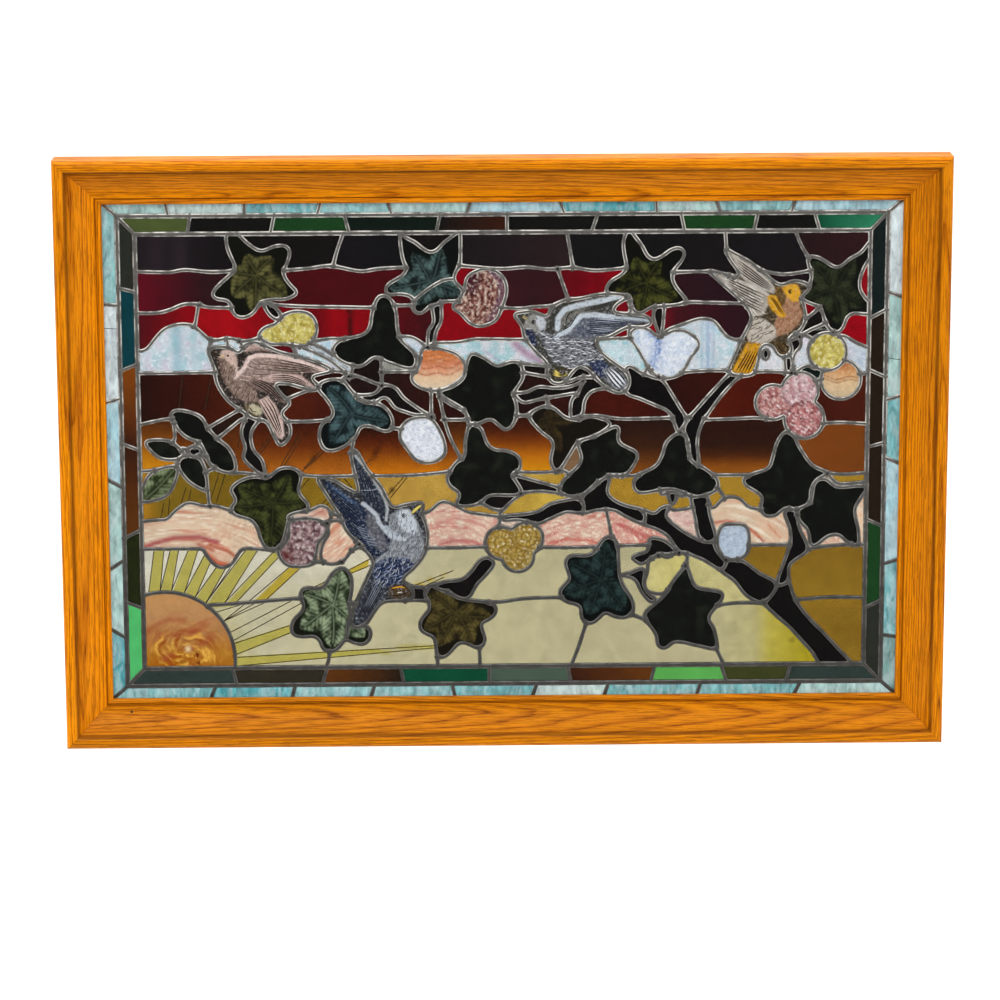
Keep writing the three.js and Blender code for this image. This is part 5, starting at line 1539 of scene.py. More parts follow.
def strokes(name, drawn, material, tip=0.25):
    """Painted lines on the front of the glass: a tapered strip of paint along each run of points,
    given with its half width and its colour."""
    vertices = []
    faces = []
    colours = []
    lift = glass_front - 0.06
    for run, half, colour in drawn:
        run = np.array(curve(run, False, 2.5) if len(run) > 2 else run, float)
        along = np.gradient(run, axis=0)
        along /= np.maximum(np.hypot(along[:, 0], along[:, 1]), 1e-9)[:, None]
        ends = np.minimum(np.arange(len(run)) + 0.35, len(run) - 0.65 - np.arange(len(run)))
        width = half * np.clip(ends / max(1.0, len(run) * 0.3), tip, 1)
        side = np.stack([-along[:, 1], along[:, 0]], axis=1) * width[:, None]
        first = len(vertices)
        for k in range(len(run)):
            for sign in (1, -1):
                x, z = run[k] + side[k] * sign
                vertices.append((x * MM, lift * MM, z * MM + middle))
            if k:
                i = first + 2 * k
                faces.append((i - 2, i - 1, i + 1, i))
        colours += [hexa(colour)] * (2 * len(run))
    made = piece(name, vertices, faces, material)
    tint_points(made, np.array(colours))
    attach(made, "root")
    return made


def line_paint(name):
    """Vitreous paint fired on: iron brown and black enamel, matt, the tint stored with each line."""
    material, tree, shader = new_material(name)
    place = add(tree, "TexCoord").outputs["Object"]
    tint = add(tree, "Attribute", attribute_name="tint").outputs["Color"]
    # grainy where the brush ran dry; the grain is 0.5 mm, drawn 1 mm wide
    grain = add(tree, "TexNoise", {"Vector": place, "Scale": 900.0, "Detail": 2.0})
    level = add(tree, "MapRange", {"Value": grain.outputs[0], 3: 0.8, 4: 1.15})
    colour = add(tree, "Mix", {"Factor": 1.0, "A": tint, "B": level.outputs[0]}, data_type="RGBA",
                 blend_type="MULTIPLY")
    tree.links.new(colour.outputs["Result"], shader.inputs["Base Color"])
    shader.inputs["Roughness"].default_value = 0.7
    shader.inputs["Specular IOR Level"].default_value = 0.2
    return material


big_panes = [i for i in range(len(panes)) if i not in solder_panes]
sky_panes = [i for i in big_panes if kinds[i] == "sky"]
named = {"ground_pane_1": (-300, -240), "ground_pane_2": (-150, -240), "ground_pane_3": (30, -240),
         "ground_pane_4": (150, -265), "ground_pane_5": (330, -240), "gold_pane_1": (430, -165),
         "gold_pane_2": (440, -230), "brown_pane": (-430, 80), "amber_pane": (450, 10)}
named = {name: pane_at(*seed) for name, seed in named.items()}
for name, number in named.items():
    slot = "sky_glass" if name in ("brown_pane", "amber_pane") else "ground_glass"
    glass("sheet_" + name, [number], sheet_tint, cathedral, [name])
rest = [i for i in sky_panes if i not in named.values()]
glass("sky_sheets", rest, sheet_tint, cathedral)
fired = line_paint("fired_line_paint")
UNDER_LEAD = 3.5  # each ray line runs on this far, under the leads at its ends
longer = [(np.array(a, float), np.subtract(b, a) / math.dist(a, b) * UNDER_LEAD) for a, b in ray_lines]
strokes("ray_lines", [([tuple(a - more), tuple(b + more)], 0.75, "#2a1c08")
                      for (a, more), (_, b) in zip(longer, ray_lines)], fired, 0.8)
# Two tiles of the turquoise border, one on each side, are cracked across: each crack bends once.
cracks = [[(-520, 166), (-508.5, 166.1)], [(-508.5, 166.1), (-496, 165)],
          [(496, 121.4), (507, 119.6)], [(507, 119.6), (520, 118)]]
strokes("tile_cracks", [(crack, 0.5, "#2f3a3d") for crack in cracks], fired, 0.9)

# ---------------------------------------------------------------- branches and dark leaves
# Flashed glass so dark that it reads as black, with the faint greenish bloom of the leaves.
def near_black(low, high, size):
    def tint(points, number):
        return grade(mottle(points, size, 6.0), (0.3, low), (0.6, low), (0.95, high))
    return tint


opaque = tinted_glass("dark_flashed_glass", 0.2, 0.6, 30.0, 0.0006, 0.1)
for name, outlines in shapes:
    numbers = [i for i in big_panes if kinds[i] == name]
    if not numbers or not name.startswith(PLAIN) or name == "sprig_4":
        continue
    leafy = name.startswith(("dark", "sprig"))
    tint = near_black("#0e100c", "#20241a", 14) if leafy else near_black("#0d0b0b", "#16120f", 20)
    glass(name + "_glass", numbers, tint, opaque,
          [name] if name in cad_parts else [])

# ---------------------------------------------------------------- ivy leaves
# Stained glass painted with black enamel: leaflets wiped out of a dark ground, with a light midrib
# and pairs of side veins scratched through the paint. Each leaf is cut from its own green or brown.
leaflets = {
    "ivy_leaf_1": ((-316, 236), [(222, 44, 20), (318, 48, 18), (262, 52, 16), (118, 30, 13), (50, 30, 13),
                                 (180, 38, 12)]),
    "ivy_leaf_2": ((-94, 224), [(122, 44, 13), (70, 46, 14), (186, 52, 17), (338, 44, 16), (240, 34, 14),
                                (292, 20, 8)]),
    "ivy_leaf_3": ((184, 222), [(205, 44, 17), (330, 46, 17), (110, 36, 13), (55, 34, 12), (262, 40, 14),
                                (170, 36, 12)]),
    "ivy_leaf_4": ((425, 210), [(60, 54, 15), (122, 46, 15), (195, 36, 15), (283, 46, 15), (335, 46, 15)]),
    "ivy_leaf_5": ((-196, 52), [(132, 48, 18), (345, 48, 17), (232, 50, 18), (40, 20, 8)]),
    "ivy_leaf_6": ((-303, -66), [(4, 46, 17), (55, 44, 15), (150, 48, 18), (185, 50, 17), (268, 60, 20),
                                 (110, 26, 11)]),
    "ivy_leaf_7": ((-225, -206), [(80, 52, 17), (152, 42, 16), (212, 52, 19), (268, 56, 20), (316, 58, 19)]),
    "ivy_leaf_8": ((-64, -216), [(142, 44, 18), (350, 48, 18), (205, 46, 18), (242, 50, 16), (300, 48, 17)]),
    "ivy_leaf_9": ((126, -174), [(84, 54, 18), (146, 48, 17), (196, 50, 17), (250, 48, 18), (310, 52, 18)]),
    "ivy_leaf_10": ((60, 40), [(20, 44, 12), (200, 18, 8), (285, 44, 10), (90, 16, 8)]),
    "sprig_4": ((-470, -62), [(46, 64, 23)]),
}
leaf_colours = {  # ground, blade, lights
    "ivy_leaf_1": ("#0e0f08", "#3d3c20", "#6c693c"), "ivy_leaf_2": ("#090d0c", "#253532", "#5a7471"),
    "ivy_leaf_3": ("#0a0b05", "#1b1d09", "#505322"), "ivy_leaf_4": ("#0b0d08", "#191f12", "#333b25"),
    "ivy_leaf_5": ("#0a0e0f", "#213236", "#4d676a"), "ivy_leaf_6": ("#0b0c06", "#242810", "#4b5127"),
    "ivy_leaf_7": ("#10150a", "#45543b", "#98a886"), "ivy_leaf_8": ("#130f06", "#3a3215", "#60552c"),
    "ivy_leaf_9": ("#050909", "#11201f", "#2d423f"), "ivy_leaf_10": ("#15100a", "#241c0f", "#40331b"),
    "sprig_4": ("#12180a", "#3d4a28", "#8e9c76"),
}


def leaf_tint(name):
    (cx, cz), blades = leaflets[name]
    ground_colour, blade_colour, vein_colour = leaf_colours[name]

    def tint(points, number):
        made = flat(points, ground_colour)
        nearest = np.full(len(points), 9.0)
        lit = mottle(points, 9, cx * 0.1)
        for k, (angle, reach, width) in enumerate(blades):
            a = math.radians(angle)
            dx, dz = points[:, 0] - cx, points[:, 1] - cz
            along = dx * math.cos(a) + dz * math.sin(a)
            across = dz * math.cos(a) - dx * math.sin(a) + 2.0 * np.sin(along / reach * 3 + k)
            t = np.clip(along / reach, 0.001, 1)
            half = width * 1.15 * np.sin(math.pi * t ** 0.75) ** 0.7 + 0.6
            out = np.abs(across) / half + 9.0 * ((along < 0) | (along > reach))
            mine = out < nearest
            nearest = np.minimum(nearest, out)
            swell = np.sin(math.pi * np.clip(out, 0, 1)) ** 0.8
            step = ((along - np.abs(across) * 0.8) / 6.4 + 0.5) % 1
            value = (0.25 + 0.75 * swell) * (1.1 - 0.4 * step) * (0.35 + 1.2 * lit)
            paint = blend(flat(points, ground_colour), hexa(blade_colour), value)
            paint = blend(paint, hexa(vein_colour), np.clip(value - 0.5, 0, 1) * 1.7)
            side = np.minimum(step, 1 - step) * 6.4
            paint = blend(paint, hexa(ground_colour), 0.5 * np.exp(-(side / 0.8) ** 2) * (out > 0.1))
            paint = blend(paint, hexa(ground_colour), 0.5 * np.exp(-((np.abs(across) - 1.6) / 0.9) ** 2))
            paint = blend(paint, hexa(vein_colour), 0.55 * np.exp(-(across / 0.8) ** 2) * (t < 0.9))
            shown = np.clip((1.02 - out) * 3.5, 0, 1)[:, None]
            under = flat(points, ground_colour)
            made = np.where(mine[:, None], under * (1 - shown) + paint * shown, made)
        return made
    return tint


enamelled = tinted_glass("enamelled_green_glass", 0.3, 0.4, 90.0, 0.0005, 0.1)
for name in leaflets:
    numbers = [i for i in big_panes if kinds[i] == name]
    glass(name + "_glass", numbers, leaf_tint(name), enamelled,
          [name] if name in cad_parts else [])

# ---------------------------------------------------------------- fruit, blossom and nuggets
# Opalescent and fractured glass, brushed with enamel: speckled pear and lime, banded peach and
# orange, hatched berries, short blue strokes on the quince and blossom, gold roundels.
def specks(points, size, threshold, seed=0.0):
    return np.clip((mottle(points, size, seed, layers=2) - threshold) * 5, 0, 1)


def plum_tint(points, number):
    x, z = points.T
    made = grade(mottle(points, 6, 1.0, 0.7), (0.2, "#4a231f"), (0.45, "#7d4c44"), (0.65, "#b08778"),
                 (0.9, "#d8c3b4"))
    made = blend(made, hexa("#431528"), 0.9 * within(points, [(-46, 232), (-36, 240), (-28, 236), (-34, 212),
                                                              (-44, 206), (-50, 214)], 8))
    rim = beside(points, [(-14, 236), (-3, 226), (-2, 208), (-7, 190), (-18, 175)])
    made = blend(made, hexa("#5a3c5e"), 0.75 * np.exp(-(rim / 4.5) ** 2))
    made = blend(made, hexa("#7a3a22"), 0.4 * np.clip((200 - z) / 25, 0, 1) * mottle(points, 8, 4.0))
    made = blend(made, hexa("#e6d9cb"), specks(points, 3.5, 0.62, 5.0) * 0.8)
    grid_lines = np.minimum(np.abs((x / 5.5) % 1 - 0.5), np.abs((z / 4.5) % 1 - 0.5)) * 2
    return blend(made, hexa("#3e2320"), 0.5 * np.clip(0.25 - grid_lines, 0, 1) * 4 * mottle(points, 7, 8.0))


def pear_tint(points, number):
    made = grade(mottle(points, 7, 1.5), (0.2, "#b09f3c"), (0.5, "#cdbe62"), (0.8, "#dfd584"))
    made = blend(made, hexa("#f0ecc2"), specks(points, 3.0, 0.6, 2.0) * 0.9)
    made = blend(made, hexa("#8f8022"), specks(points, 2.6, 0.64, 7.0) * 0.6)
    crack = np.abs(mottle(points, 16, 12.0, layers=2) - 0.5)
    return blend(made, hexa("#857a24"), 0.6 * np.clip(0.05 - crack, 0, 1) * 20)


def banded(cx, cz, spacing, stops, lines_at, colour):
    """Curved brushed bands from the top of a fruit to its foot."""
    def tint(points, number):
        x, z = points.T
        depth = (cz - z) / spacing + ((x - cx) / spacing) ** 2 * 0.25
        made = grade(depth + 0.1 * mottle(points, 8, 1.0), *stops)
        for level, width, strength in lines_at:
            wavy = 0.035 * np.sin(x / 5.0)
            made = blend(made, hexa(colour), strength * np.exp(-((depth - level + wavy) / width) ** 2))
        made = blend(made, hexa("#f2dcbe"), 0.35 * specks(points, 3.4, 0.6, 3.0))
        return made * (0.92 + 0.16 * mottle(points, 4, 6.0))[:, None]
    return tint


peach_tint = banded(-88, 138, 56, [(0, "#c06a30"), (0.25, "#d4844a"), (0.45, "#cf8560"), (0.6, "#d99f7c"),
                                   (0.75, "#dfbf9c"), (1.0, "#e3cfb2")],
                    [(0.18, 0.018, 0.6), (0.3, 0.02, 0.5), (0.47, 0.02, 0.75), (0.62, 0.02, 0.75),
                     (0.1, 0.015, 0.5)], "#a8492a")
orange_tint = banded(438, 119, 52, [(0, "#9a5a2e"), (0.2, "#c07c48"), (0.4, "#d3a06c"), (0.6, "#dbbd92"),
                                    (1.0, "#cdb694")],
                     [(0.47, 0.02, 0.8), (0.55, 0.02, 0.7), (0.1, 0.02, 0.4)], "#96552c")


def hatched(base, pale, strokes_colour, angle, spacing, seed, size=7.0):
    """Short slanting brush strokes over a mottled ground."""
    def tint(points, number):
        a = math.radians(angle)
        along = points[:, 0] * math.cos(a) + points[:, 1] * math.sin(a)
        across = points[:, 1] * math.cos(a) - points[:, 0] * math.sin(a)
        made = grade(mottle(points, size, seed), (0.25, base), (0.75, pale))
        broken = mottle(np.stack([along / 2.2, across], axis=1), 2.2, seed + 2, layers=2)
        line = np.abs((across / spacing) % 1 - 0.5) * 2
        return blend(made, hexa(strokes_colour), 0.85 * np.clip(0.75 - line, 0, 1) * 2
                     * np.clip((broken - 0.5) * 4, 0, 1))
    return tint


def quince_tint(points, number):
    x, z = points.T
    made = hatched("#ced8e6", "#eaeef2", "#a9b9d4", 72, 3.2, 1.0)(points, number)
    streak = beside(points, [(192, 158), (200, 148), (200, 132), (194, 114)])
    made = blend(made, hexa("#5f83bf"), 1.3 * np.exp(-(streak / 7.0) ** 2) * mottle(points, 4, 4.0))
    made = blend(made, hexa("#86a3cf"), 0.6 * np.exp(-((x - 172) / 6) ** 2) * mottle(points, 5, 8.0))
    return blend(made, hexa("#f4f7fb"), specks(points, 3.0, 0.62, 9.0) * 0.8)


def blossom_tint(points, number):
    made = hatched("#dadfe8", "#f2f4f8", "#a3aec2", -25, 3.6, 3.0)(points, number)
    return blend(made, hexa("#7f8fb0"), specks(points, 3.4, 0.7, 6.0) * 0.5)


def berry_tint(points, number):
    x, z = points.T
    made = flat(points, "#9d6a68")
    for cx, cz, base, pale in ((350, 63.5, "#a0625f", "#c8928c"), (385, 79, "#ba8a8e", "#d9bcbf"),
                               (391, 41, "#9a5556", "#c58785")):
        away = np.hypot(x - cx, z - cz)
        here = hatched(base, pale, "#efe2e0", -35, 5.0, cx * 0.1)(points, number)
        inner = np.clip((24.5 - away) / 2 + 0.5, 0, 1)[:, None]
        made = made * (1 - inner) + here * inner
        made = blend(made, hexa("#5d3638"), 0.5 * np.exp(-((away - 22.5) / 1.6) ** 2))
    made = blend(made, hexa("#4a2c2e"), specks(points, 3.6, 0.66, 4.0) * 0.8)
    return blend(made, hexa("#f0e4e2"), specks(points, 4.2, 0.7, 8.0) * 0.8)


def plum_nugget_tint(points, number):
    x, z = points.T
    made = grade(mottle(points, 6, 3.0), (0.25, "#5d4148"), (0.5, "#8d6f72"), (0.8, "#bba6a4"))
    made = blend(made, hexa("#e2dad6"), specks(points, 4.0, 0.63, 2.0) * 0.8)
    made = blend(made, hexa("#4a2226"), specks(points, 5.0, 0.6, 5.0) * 0.5)
    return blend(made, hexa("#5e1f1a"), 0.8 * np.exp(-(np.hypot(x + 284, z + 138) / 11) ** 2))


def roundel_tint(points, number):
    x, z = points.T
    made = grade(mottle(points, 6, 2.0), (0.3, "#7d6428"), (0.7, "#ab9450"))
    for cx, cz, radius, spokes in ((-5, -121, 16, 14), (29, -114, 14, 12), (14, -140, 12, 9)):
        away = np.hypot(x - cx, z - cz)
        turn = np.arctan2(z - cz, x - cx)
        made = blend(made, hexa("#bfa452"), 0.8 * np.clip((radius + 3 - away) / 2, 0, 1))
        made = blend(made, hexa("#7e5c14"), 0.9 * np.exp(-((away - radius) / 1.8) ** 2))
        made = blend(made, hexa("#7a5a16"), 0.85 * np.exp(-((away - radius * 0.45) / 1.5) ** 2))
        ray = np.clip(np.cos(turn * spokes) * 1.6, 0, 1) * (away < radius) * (away > radius * 0.4)
        made = blend(made, hexa("#7d5f1a"), 0.7 * ray)
        made = blend(made, hexa("#6d541c"), 0.7 * np.exp(-(away / 2.6) ** 2))
    return blend(made, hexa("#efe6c8"), specks(points, 3.2, 0.66, 6.0) * 0.8)


def sun_tint(points, number):
    x, z = points.T
    made = grade(z + 14 * mottle(points, 30, 2.0, 2.0), (-280, "#a8640f"), (-262, "#b37b28"),
                 (-240, "#b07a42"),
                 (-215, "#b9895a"), (-185, "#c1925c"))
    away = np.hypot(x + 420, (z + 268) * 1.25)
    turn = np.arctan2(z + 268, x + 420)
    away = away + 9 * mottle(points, 14, 6.0)
    curl = np.stack([away * 1.9 + 12 * turn, 17 * turn + away * 0.5], axis=1)
    swirl = mottle(curl, 11, 5.0, layers=5)
    low_part = np.clip((66 - away) / 34, 0, 1)
    made = blend(made, hexa("#9c4a0c"), np.clip(0.48 - swirl, 0, 1) * 3.2 * low_part)
    made = blend(made, hexa("#e2b04a"), np.clip(swirl - 0.54, 0, 1) * 3.6 * low_part)
    made = blend(made, hexa("#6e1d08"), 0.85 * np.clip(0.42 - mottle(points, 7, 8.0), 0, 1) * 6
                 * np.exp(-((x + 408) / 17) ** 2 - ((z + 276) / 11) ** 2))
    wisps = mottle(np.stack([x + 0.6 * z, z - 0.35 * x], axis=1), 20, 3.0, 2.6)
    made = blend(made, hexa("#a4532f"), np.clip(wisps - 0.56, 0, 1) * 2.6 * np.clip((-205 - z) / 25, 0, 1))
    made = blend(made, hexa("#a4532f"), 0.6 * np.exp(-(beside(points,
                                                              [(-474, -246), (-462, -232), (-440, -222),
                                                                       (-420, -224)]) / 4.0) ** 2))
    made = blend(made, hexa("#ecd9b0"), 0.9 * np.exp(-((x + 416) ** 2 + (z + 262) ** 2) / 14))
    return made


shell_tint = striped(-270, -60, 12.0, 1.0, "#cf8a72", "#dfbaa6", 2.0, (
    ([(-232, -112), (-222, -102), (-215, -94)], 3.0, "#cf8468"),))
pink_tint = striped(-250, -140, 20.0, 1.0, "#cf9a8a", "#dfc4b8", 3.0, (
    ([(-268, -90), (-250, -84), (-236, -77)], 0.9, "#a8524a"),))
FRUIT = {
    "plum": (plum_tint, "fruit_glass"), "pear": (pear_tint, "fruit_glass"),
    "peach": (peach_tint, "fruit_glass"), "quince": (quince_tint, "fruit_glass"),
    "orange": (orange_tint, "fruit_glass"), "lime": (pear_tint, "fruit_glass"),
    "berries": (berry_tint, "fruit_glass"), "blossom": (blossom_tint, "fruit_glass"),
    "pink_nugget": (pink_tint, "fruit_glass"), "plum_nugget": (plum_nugget_tint, "fruit_glass"),
    "shell_nugget": (shell_tint, "fruit_glass"), "roundels": (roundel_tint, "fruit_glass"),
    "oval_nugget": (hatched("#a9b8c9", "#c6d1dd", "#7f93ab", 4, 3.0, 2.0, 4.0), "fruit_glass"),
    "sun": (sun_tint, "sun_glass"), "pale_blossom": (sheet("x", (185, "#c6bd83"), (240, "#c9bf74")),
                                                     "fruit_glass"),
}
opal = tinted_glass("opalescent_glass", 0.3, 0.45, 110.0, 0.0012, 0.12)
for name, (tint, slot) in FRUIT.items():
    numbers = [i for i in big_panes if kinds[i] == name]
    glass(name + "_glass", numbers, tint, opal, [name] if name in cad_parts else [])

# ---------------------------------------------------------------- songbirds
# White and grey glass painted in brown and blue enamel and silver stain: the ground round each bird
# is matted dark, the body stippled, and each feather drawn with fine strokes of the brush.
def bird_tint(ground_colour, zones, bands, speckle):
    def tint(points, number):
        cloud = mottle(points, 5, 3.0)
        made = flat(points, ground_colour) * (0.8 + 0.4 * cloud)[:, None]
        for outline, colour, dark, spread in zones:
            inner = within(points, outline, spread)
            patch = blend(flat(points, dark), hexa(colour), cloud)
            made = made * (1 - inner[:, None]) + patch * inner[:, None]
        for run, half, colour, strength in bands:
            made = blend(made, hexa(colour), strength * np.clip((half - beside(points, run)) / 1.4 + 0.5, 0,
                                                                1))
        light, dark = speckle
        fine = mottle(points, 2.6, 7.0, layers=2)
        made = blend(made, hexa(light), 0.35 * np.clip(fine - 0.6, 0, 1) * 5)
        return blend(made, hexa(dark), 0.35 * np.clip(0.4 - fine, 0, 1) * 5)
    return tint


def fan(first_line, last_line, count, half, colour):
    """Feather strokes spread evenly from one line to another with the same number of points."""
    made = []
    for k in range(count):
        t = (k + 0.5) / count
        run = [tuple(np.array(a) * (1 - t) + np.array(b) * t) for a, b in zip(first_line, last_line)]
        made.append((run, half, colour))
    return made


def hatch(outline, angle, spacing, length, half, colour, seed):
    """Short strokes scattered over a patch, all at about the same slant."""
    shaken = random.Random(seed)
    low, high = np.min(outline, axis=0), np.max(outline, axis=0)
    made = []
    for z in np.arange(low[1], high[1], spacing):
        for x in np.arange(low[0], high[0], spacing):
            px, pz = x + shaken.uniform(-0.5, 0.5) * spacing, z + shaken.uniform(-0.5, 0.5) * spacing
            a = math.radians(angle + shaken.uniform(-22, 22))
            reach = length * shaken.uniform(0.35, 0.7)
            if inside(np.array([[px, pz]]), outline)[0]:
                dx, dz = math.cos(a) * reach, math.sin(a) * reach
                made.append(([(px - dx, pz - dz), (px + dz * 0.15, pz - dx * 0.15), (px + dx, pz + dz)],
                             half, colour))
    return made


def eye(x, z, size):
    return [(x + size * math.cos(a), z + size * math.sin(a)) for a in np.linspace(0, 2 * math.pi, 9)]


BIRDS = {}
breast = [(-367, 128), (-362, 120), (-364, 105), (-358, 90), (-348, 76), (-334, 68), (-318, 68), (-322, 84),
          (-336, 96), (-346, 104), (-350, 116)]
wing = [(-351, 102), (-341, 106), (-333, 116), (-327, 128), (-312, 131), (-290, 129), (-262, 121),
        (-232, 108),
        (-252, 107), (-275, 106), (-300, 105), (-318, 99), (-334, 96)]
wing_2 = [(-322, 99), (-300, 105), (-275, 105), (-262, 103), (-252, 94), (-243, 85), (-254, 88), (-268, 93),
          (-285, 95), (-300, 93)]
wing_3 = [(-336, 97), (-318, 98), (-302, 92), (-292, 80), (-281, 66), (-290, 68), (-304, 80), (-320, 84)]
tail = [(-318, 70), (-306, 76), (-296, 64), (-287, 44), (-285, 26), (-288, 18), (-294, 22), (-304, 42),
        (-312, 56)]
BIRDS["pink_songbird"] = (
    bird_tint("#2b2622", [
        ([(-369, 128), (-364, 136), (-355, 138), (-347, 134), (-345, 124), (-344, 108), (-352, 100),
          (-360, 112)],
         "#e3cbbf", "#cdb0a3", 2.5),
        ([(-369, 126), (-360, 126), (-356, 114), (-352, 100), (-344, 88), (-352, 82), (-364, 100)],
         "#7a6155", "#5c473c", 3.5),
        (breast, "#a08a7d", "#715c50", 4.0), (wing_3, "#8d786f", "#5f4c44", 2.0),
        (tail, "#e6cbc2", "#b89f95", 1.6), (wing_2, "#dcc0b7", "#a68d84", 1.6),
        (wing, "#ab948a", "#7b675e", 1.8),
        ([(-336, 134), (-324, 144), (-310, 141), (-299, 134), (-312, 136)], "#b79d94", "#8c756c", 1.8),
        ([(-336, 66), (-316, 66), (-314, 52), (-326, 48), (-336, 56)], "#6d6444", "#3d3724", 2.0)],
        [([(-348, 101), (-337, 111), (-329, 126), (-318, 130), (-290, 128), (-262, 121), (-232, 109)], 2.6,
          "#f0d8d0", 0.95),
         ([(-334, 136), (-324, 143), (-310, 140)], 1.6, "#cfb5ac", 0.9),
         ([(-325, 60), (-319, 56)], 5.5, "#cbc4a4", 0.9),
         ([(-300, 104), (-272, 102), (-250, 90), (-245, 86)], 1.5, "#dcc1b9", 0.8),
         ([(-292, 40), (-287, 24)], 2.0, "#e3cac2", 0.9)],
        ("#d9c2ba", "#4a3a33")),
    fan([(-322, 121), (-306, 121), (-290, 117)], [(-330, 103), (-314, 101), (-298, 103)], 3, 0.5, "#6b5850")
    + fan([(-296, 126), (-262, 119), (-234, 110)], [(-302, 108), (-275, 107), (-250, 108)], 5, 0.7, "#3d302b")
    + fan([(-300, 104), (-275, 103), (-250, 91)], [(-300, 94), (-280, 94), (-256, 88)], 4, 0.7, "#40332d")
    + fan([(-318, 98), (-300, 90), (-283, 68)], [(-330, 95), (-312, 84), (-290, 69)], 4, 0.8, "#2d231f")
    + fan([(-306, 75), (-296, 60), (-287, 26)], [(-318, 68), (-306, 46), (-292, 22)], 4, 0.8, "#33271f")
    + hatch(breast, 60, 6.5, 7.5, 0.45, "#4e3d34", 1) + hatch(wing, -20, 9.0, 9.0, 0.45, "#d3bbb2", 2)
    + [(eye(-356, 129.5, 0.7), 1.0, "#1a1614"), ([(-379, 134), (-372, 131.5), (-366, 129)], 1.7, "#2a2018"),
       ([(-367, 129), (-362, 128)], 1.5, "#c9b24e"), ([(-330, 62), (-326, 56), (-320, 55)], 0.7, "#3d3724")])
g_body = [(27, 163), (36, 160), (48, 150), (56, 132), (66, 118), (86, 110), (104, 113), (124, 118),
          (130, 124),
          (117, 136), (116, 148), (98, 151), (76, 151), (58, 156), (46, 163)]
g_wing_1 = [(66, 160), (70, 178), (78, 190), (96, 197), (125, 203), (150, 205), (140, 194), (120, 186),
            (100, 182), (88, 174), (78, 164)]
g_wing_2 = [(74, 154), (92, 168), (100, 178), (120, 180), (145, 178), (188, 172), (160, 165), (135, 154),
            (116, 150), (96, 150)]
g_tail = [(128, 108), (142, 112), (156, 100), (161, 90), (153, 80), (142, 84), (134, 94)]
BIRDS["grey_songbird"] = (
    bird_tint("#3c3a33", [
        (g_body, "#8b8e94", "#5f6066", 3.0),
        ([(26, 166), (30, 177), (40, 183), (50, 180), (56, 172), (55, 162), (46, 156), (34, 158)], "#a3a19a",
         "#7d7a73", 2.0),
        ([(43, 180), (51, 178), (55, 170), (53, 161), (47, 160), (42, 170)], "#d3d8de", "#b9bec6", 2.0),
        ([(29, 162), (38, 161), (41, 152), (44, 140), (38, 139), (31, 150)], "#232d4f", "#1b2440", 2.2),
        (g_wing_1, "#817e76", "#58554c", 1.8), (g_wing_2, "#7b7e84", "#33405c", 1.8),
        ([(110, 119), (128, 121), (138, 110), (130, 96), (118, 104)], "#2f3b5e", "#222b48", 2.5),
        (g_tail, "#a9acb2", "#3a3b40", 1.8),
        ([(62, 112), (88, 110), (88, 96), (62, 94)], "#4a4228", "#2f2a1a", 3.0)],
        [([(70, 162), (71, 176), (79, 187), (95, 192), (120, 197), (152, 204)], 3.4, "#ccd6df", 0.95),
         ([(68, 151), (84, 160), (94, 172), (101, 179), (118, 180), (142, 177)], 3.2, "#d2dbe4", 0.95),
         ([(140, 177), (165, 175), (188, 172)], 1.7, "#c3cdd8", 0.9),
         ([(30, 176), (26, 178)], 1.2, "#b09a55", 0.9)],
        ("#d3d8de", "#2e2f33")),
    fan([(104, 190), (130, 195), (152, 202)], [(100, 184), (120, 187), (142, 193)], 5, 0.5, "#2c2b27")
    + fan([(110, 175), (140, 173), (176, 170)], [(104, 156), (125, 154), (140, 156)], 8, 0.6, "#1d2438")
    + fan([(120, 176), (145, 174), (170, 170)], [(115, 158), (130, 157), (145, 160)], 6, 0.45, "#b9c2cf")
    + hatch(g_body, 10, 5.4, 6.0, 0.5, "#2a2b30", 3) + hatch(g_body, -10, 6.4, 7.0, 0.5, "#d6d9de", 4)
    + fan([(118, 130), (124, 122), (130, 123)], [(112, 138), (118, 128), (126, 121)], 3, 0.7, "#d5d9de")
    + fan([(140, 110), (152, 100), (159, 91)], [(132, 104), (140, 92), (150, 82)], 3, 1.2, "#dfe4ea")
    + fan([(142, 112), (154, 102), (161, 91)], [(130, 106), (138, 92), (150, 80)], 4, 0.7, "#17181c")
    + fan([(66, 110), (72, 104), (80, 99)], [(64, 101), (72, 99), (84, 104)], 5, 0.7, "#d6bf62")
    + [(eye(39.5, 171, 2.6), 0.6, "#1c1b19"), (eye(39.5, 171, 1.0), 0.8, "#1c1b19"),
       ([(25, 178), (29, 175)], 1.1, "#c9b06a"), ([(17, 182), (25, 178)], 1.5, "#3a3326"),
       ([(72, 158), (86, 166), (96, 182)], 0.6, "#2c2b27"),
       ([(80, 166), (84, 180), (96, 188)], 0.7, "#2c2b27")])
y_far = [(292, 260), (310, 248), (336, 230), (352, 214), (350, 206), (334, 212), (314, 222), (304, 232),
         (300, 246)]
y_near = [(272, 234), (300, 224), (330, 212), (343, 204), (343, 192), (336, 178), (322, 177), (308, 190),
          (294, 210), (284, 222)]
y_belly = [(322, 176), (338, 173), (352, 162), (354, 150), (344, 142), (330, 140), (318, 144), (315, 152),
           (322, 164)]
y_tail = [(316, 143), (334, 141), (329, 122), (322, 102), (308, 100), (296, 105), (306, 124)]
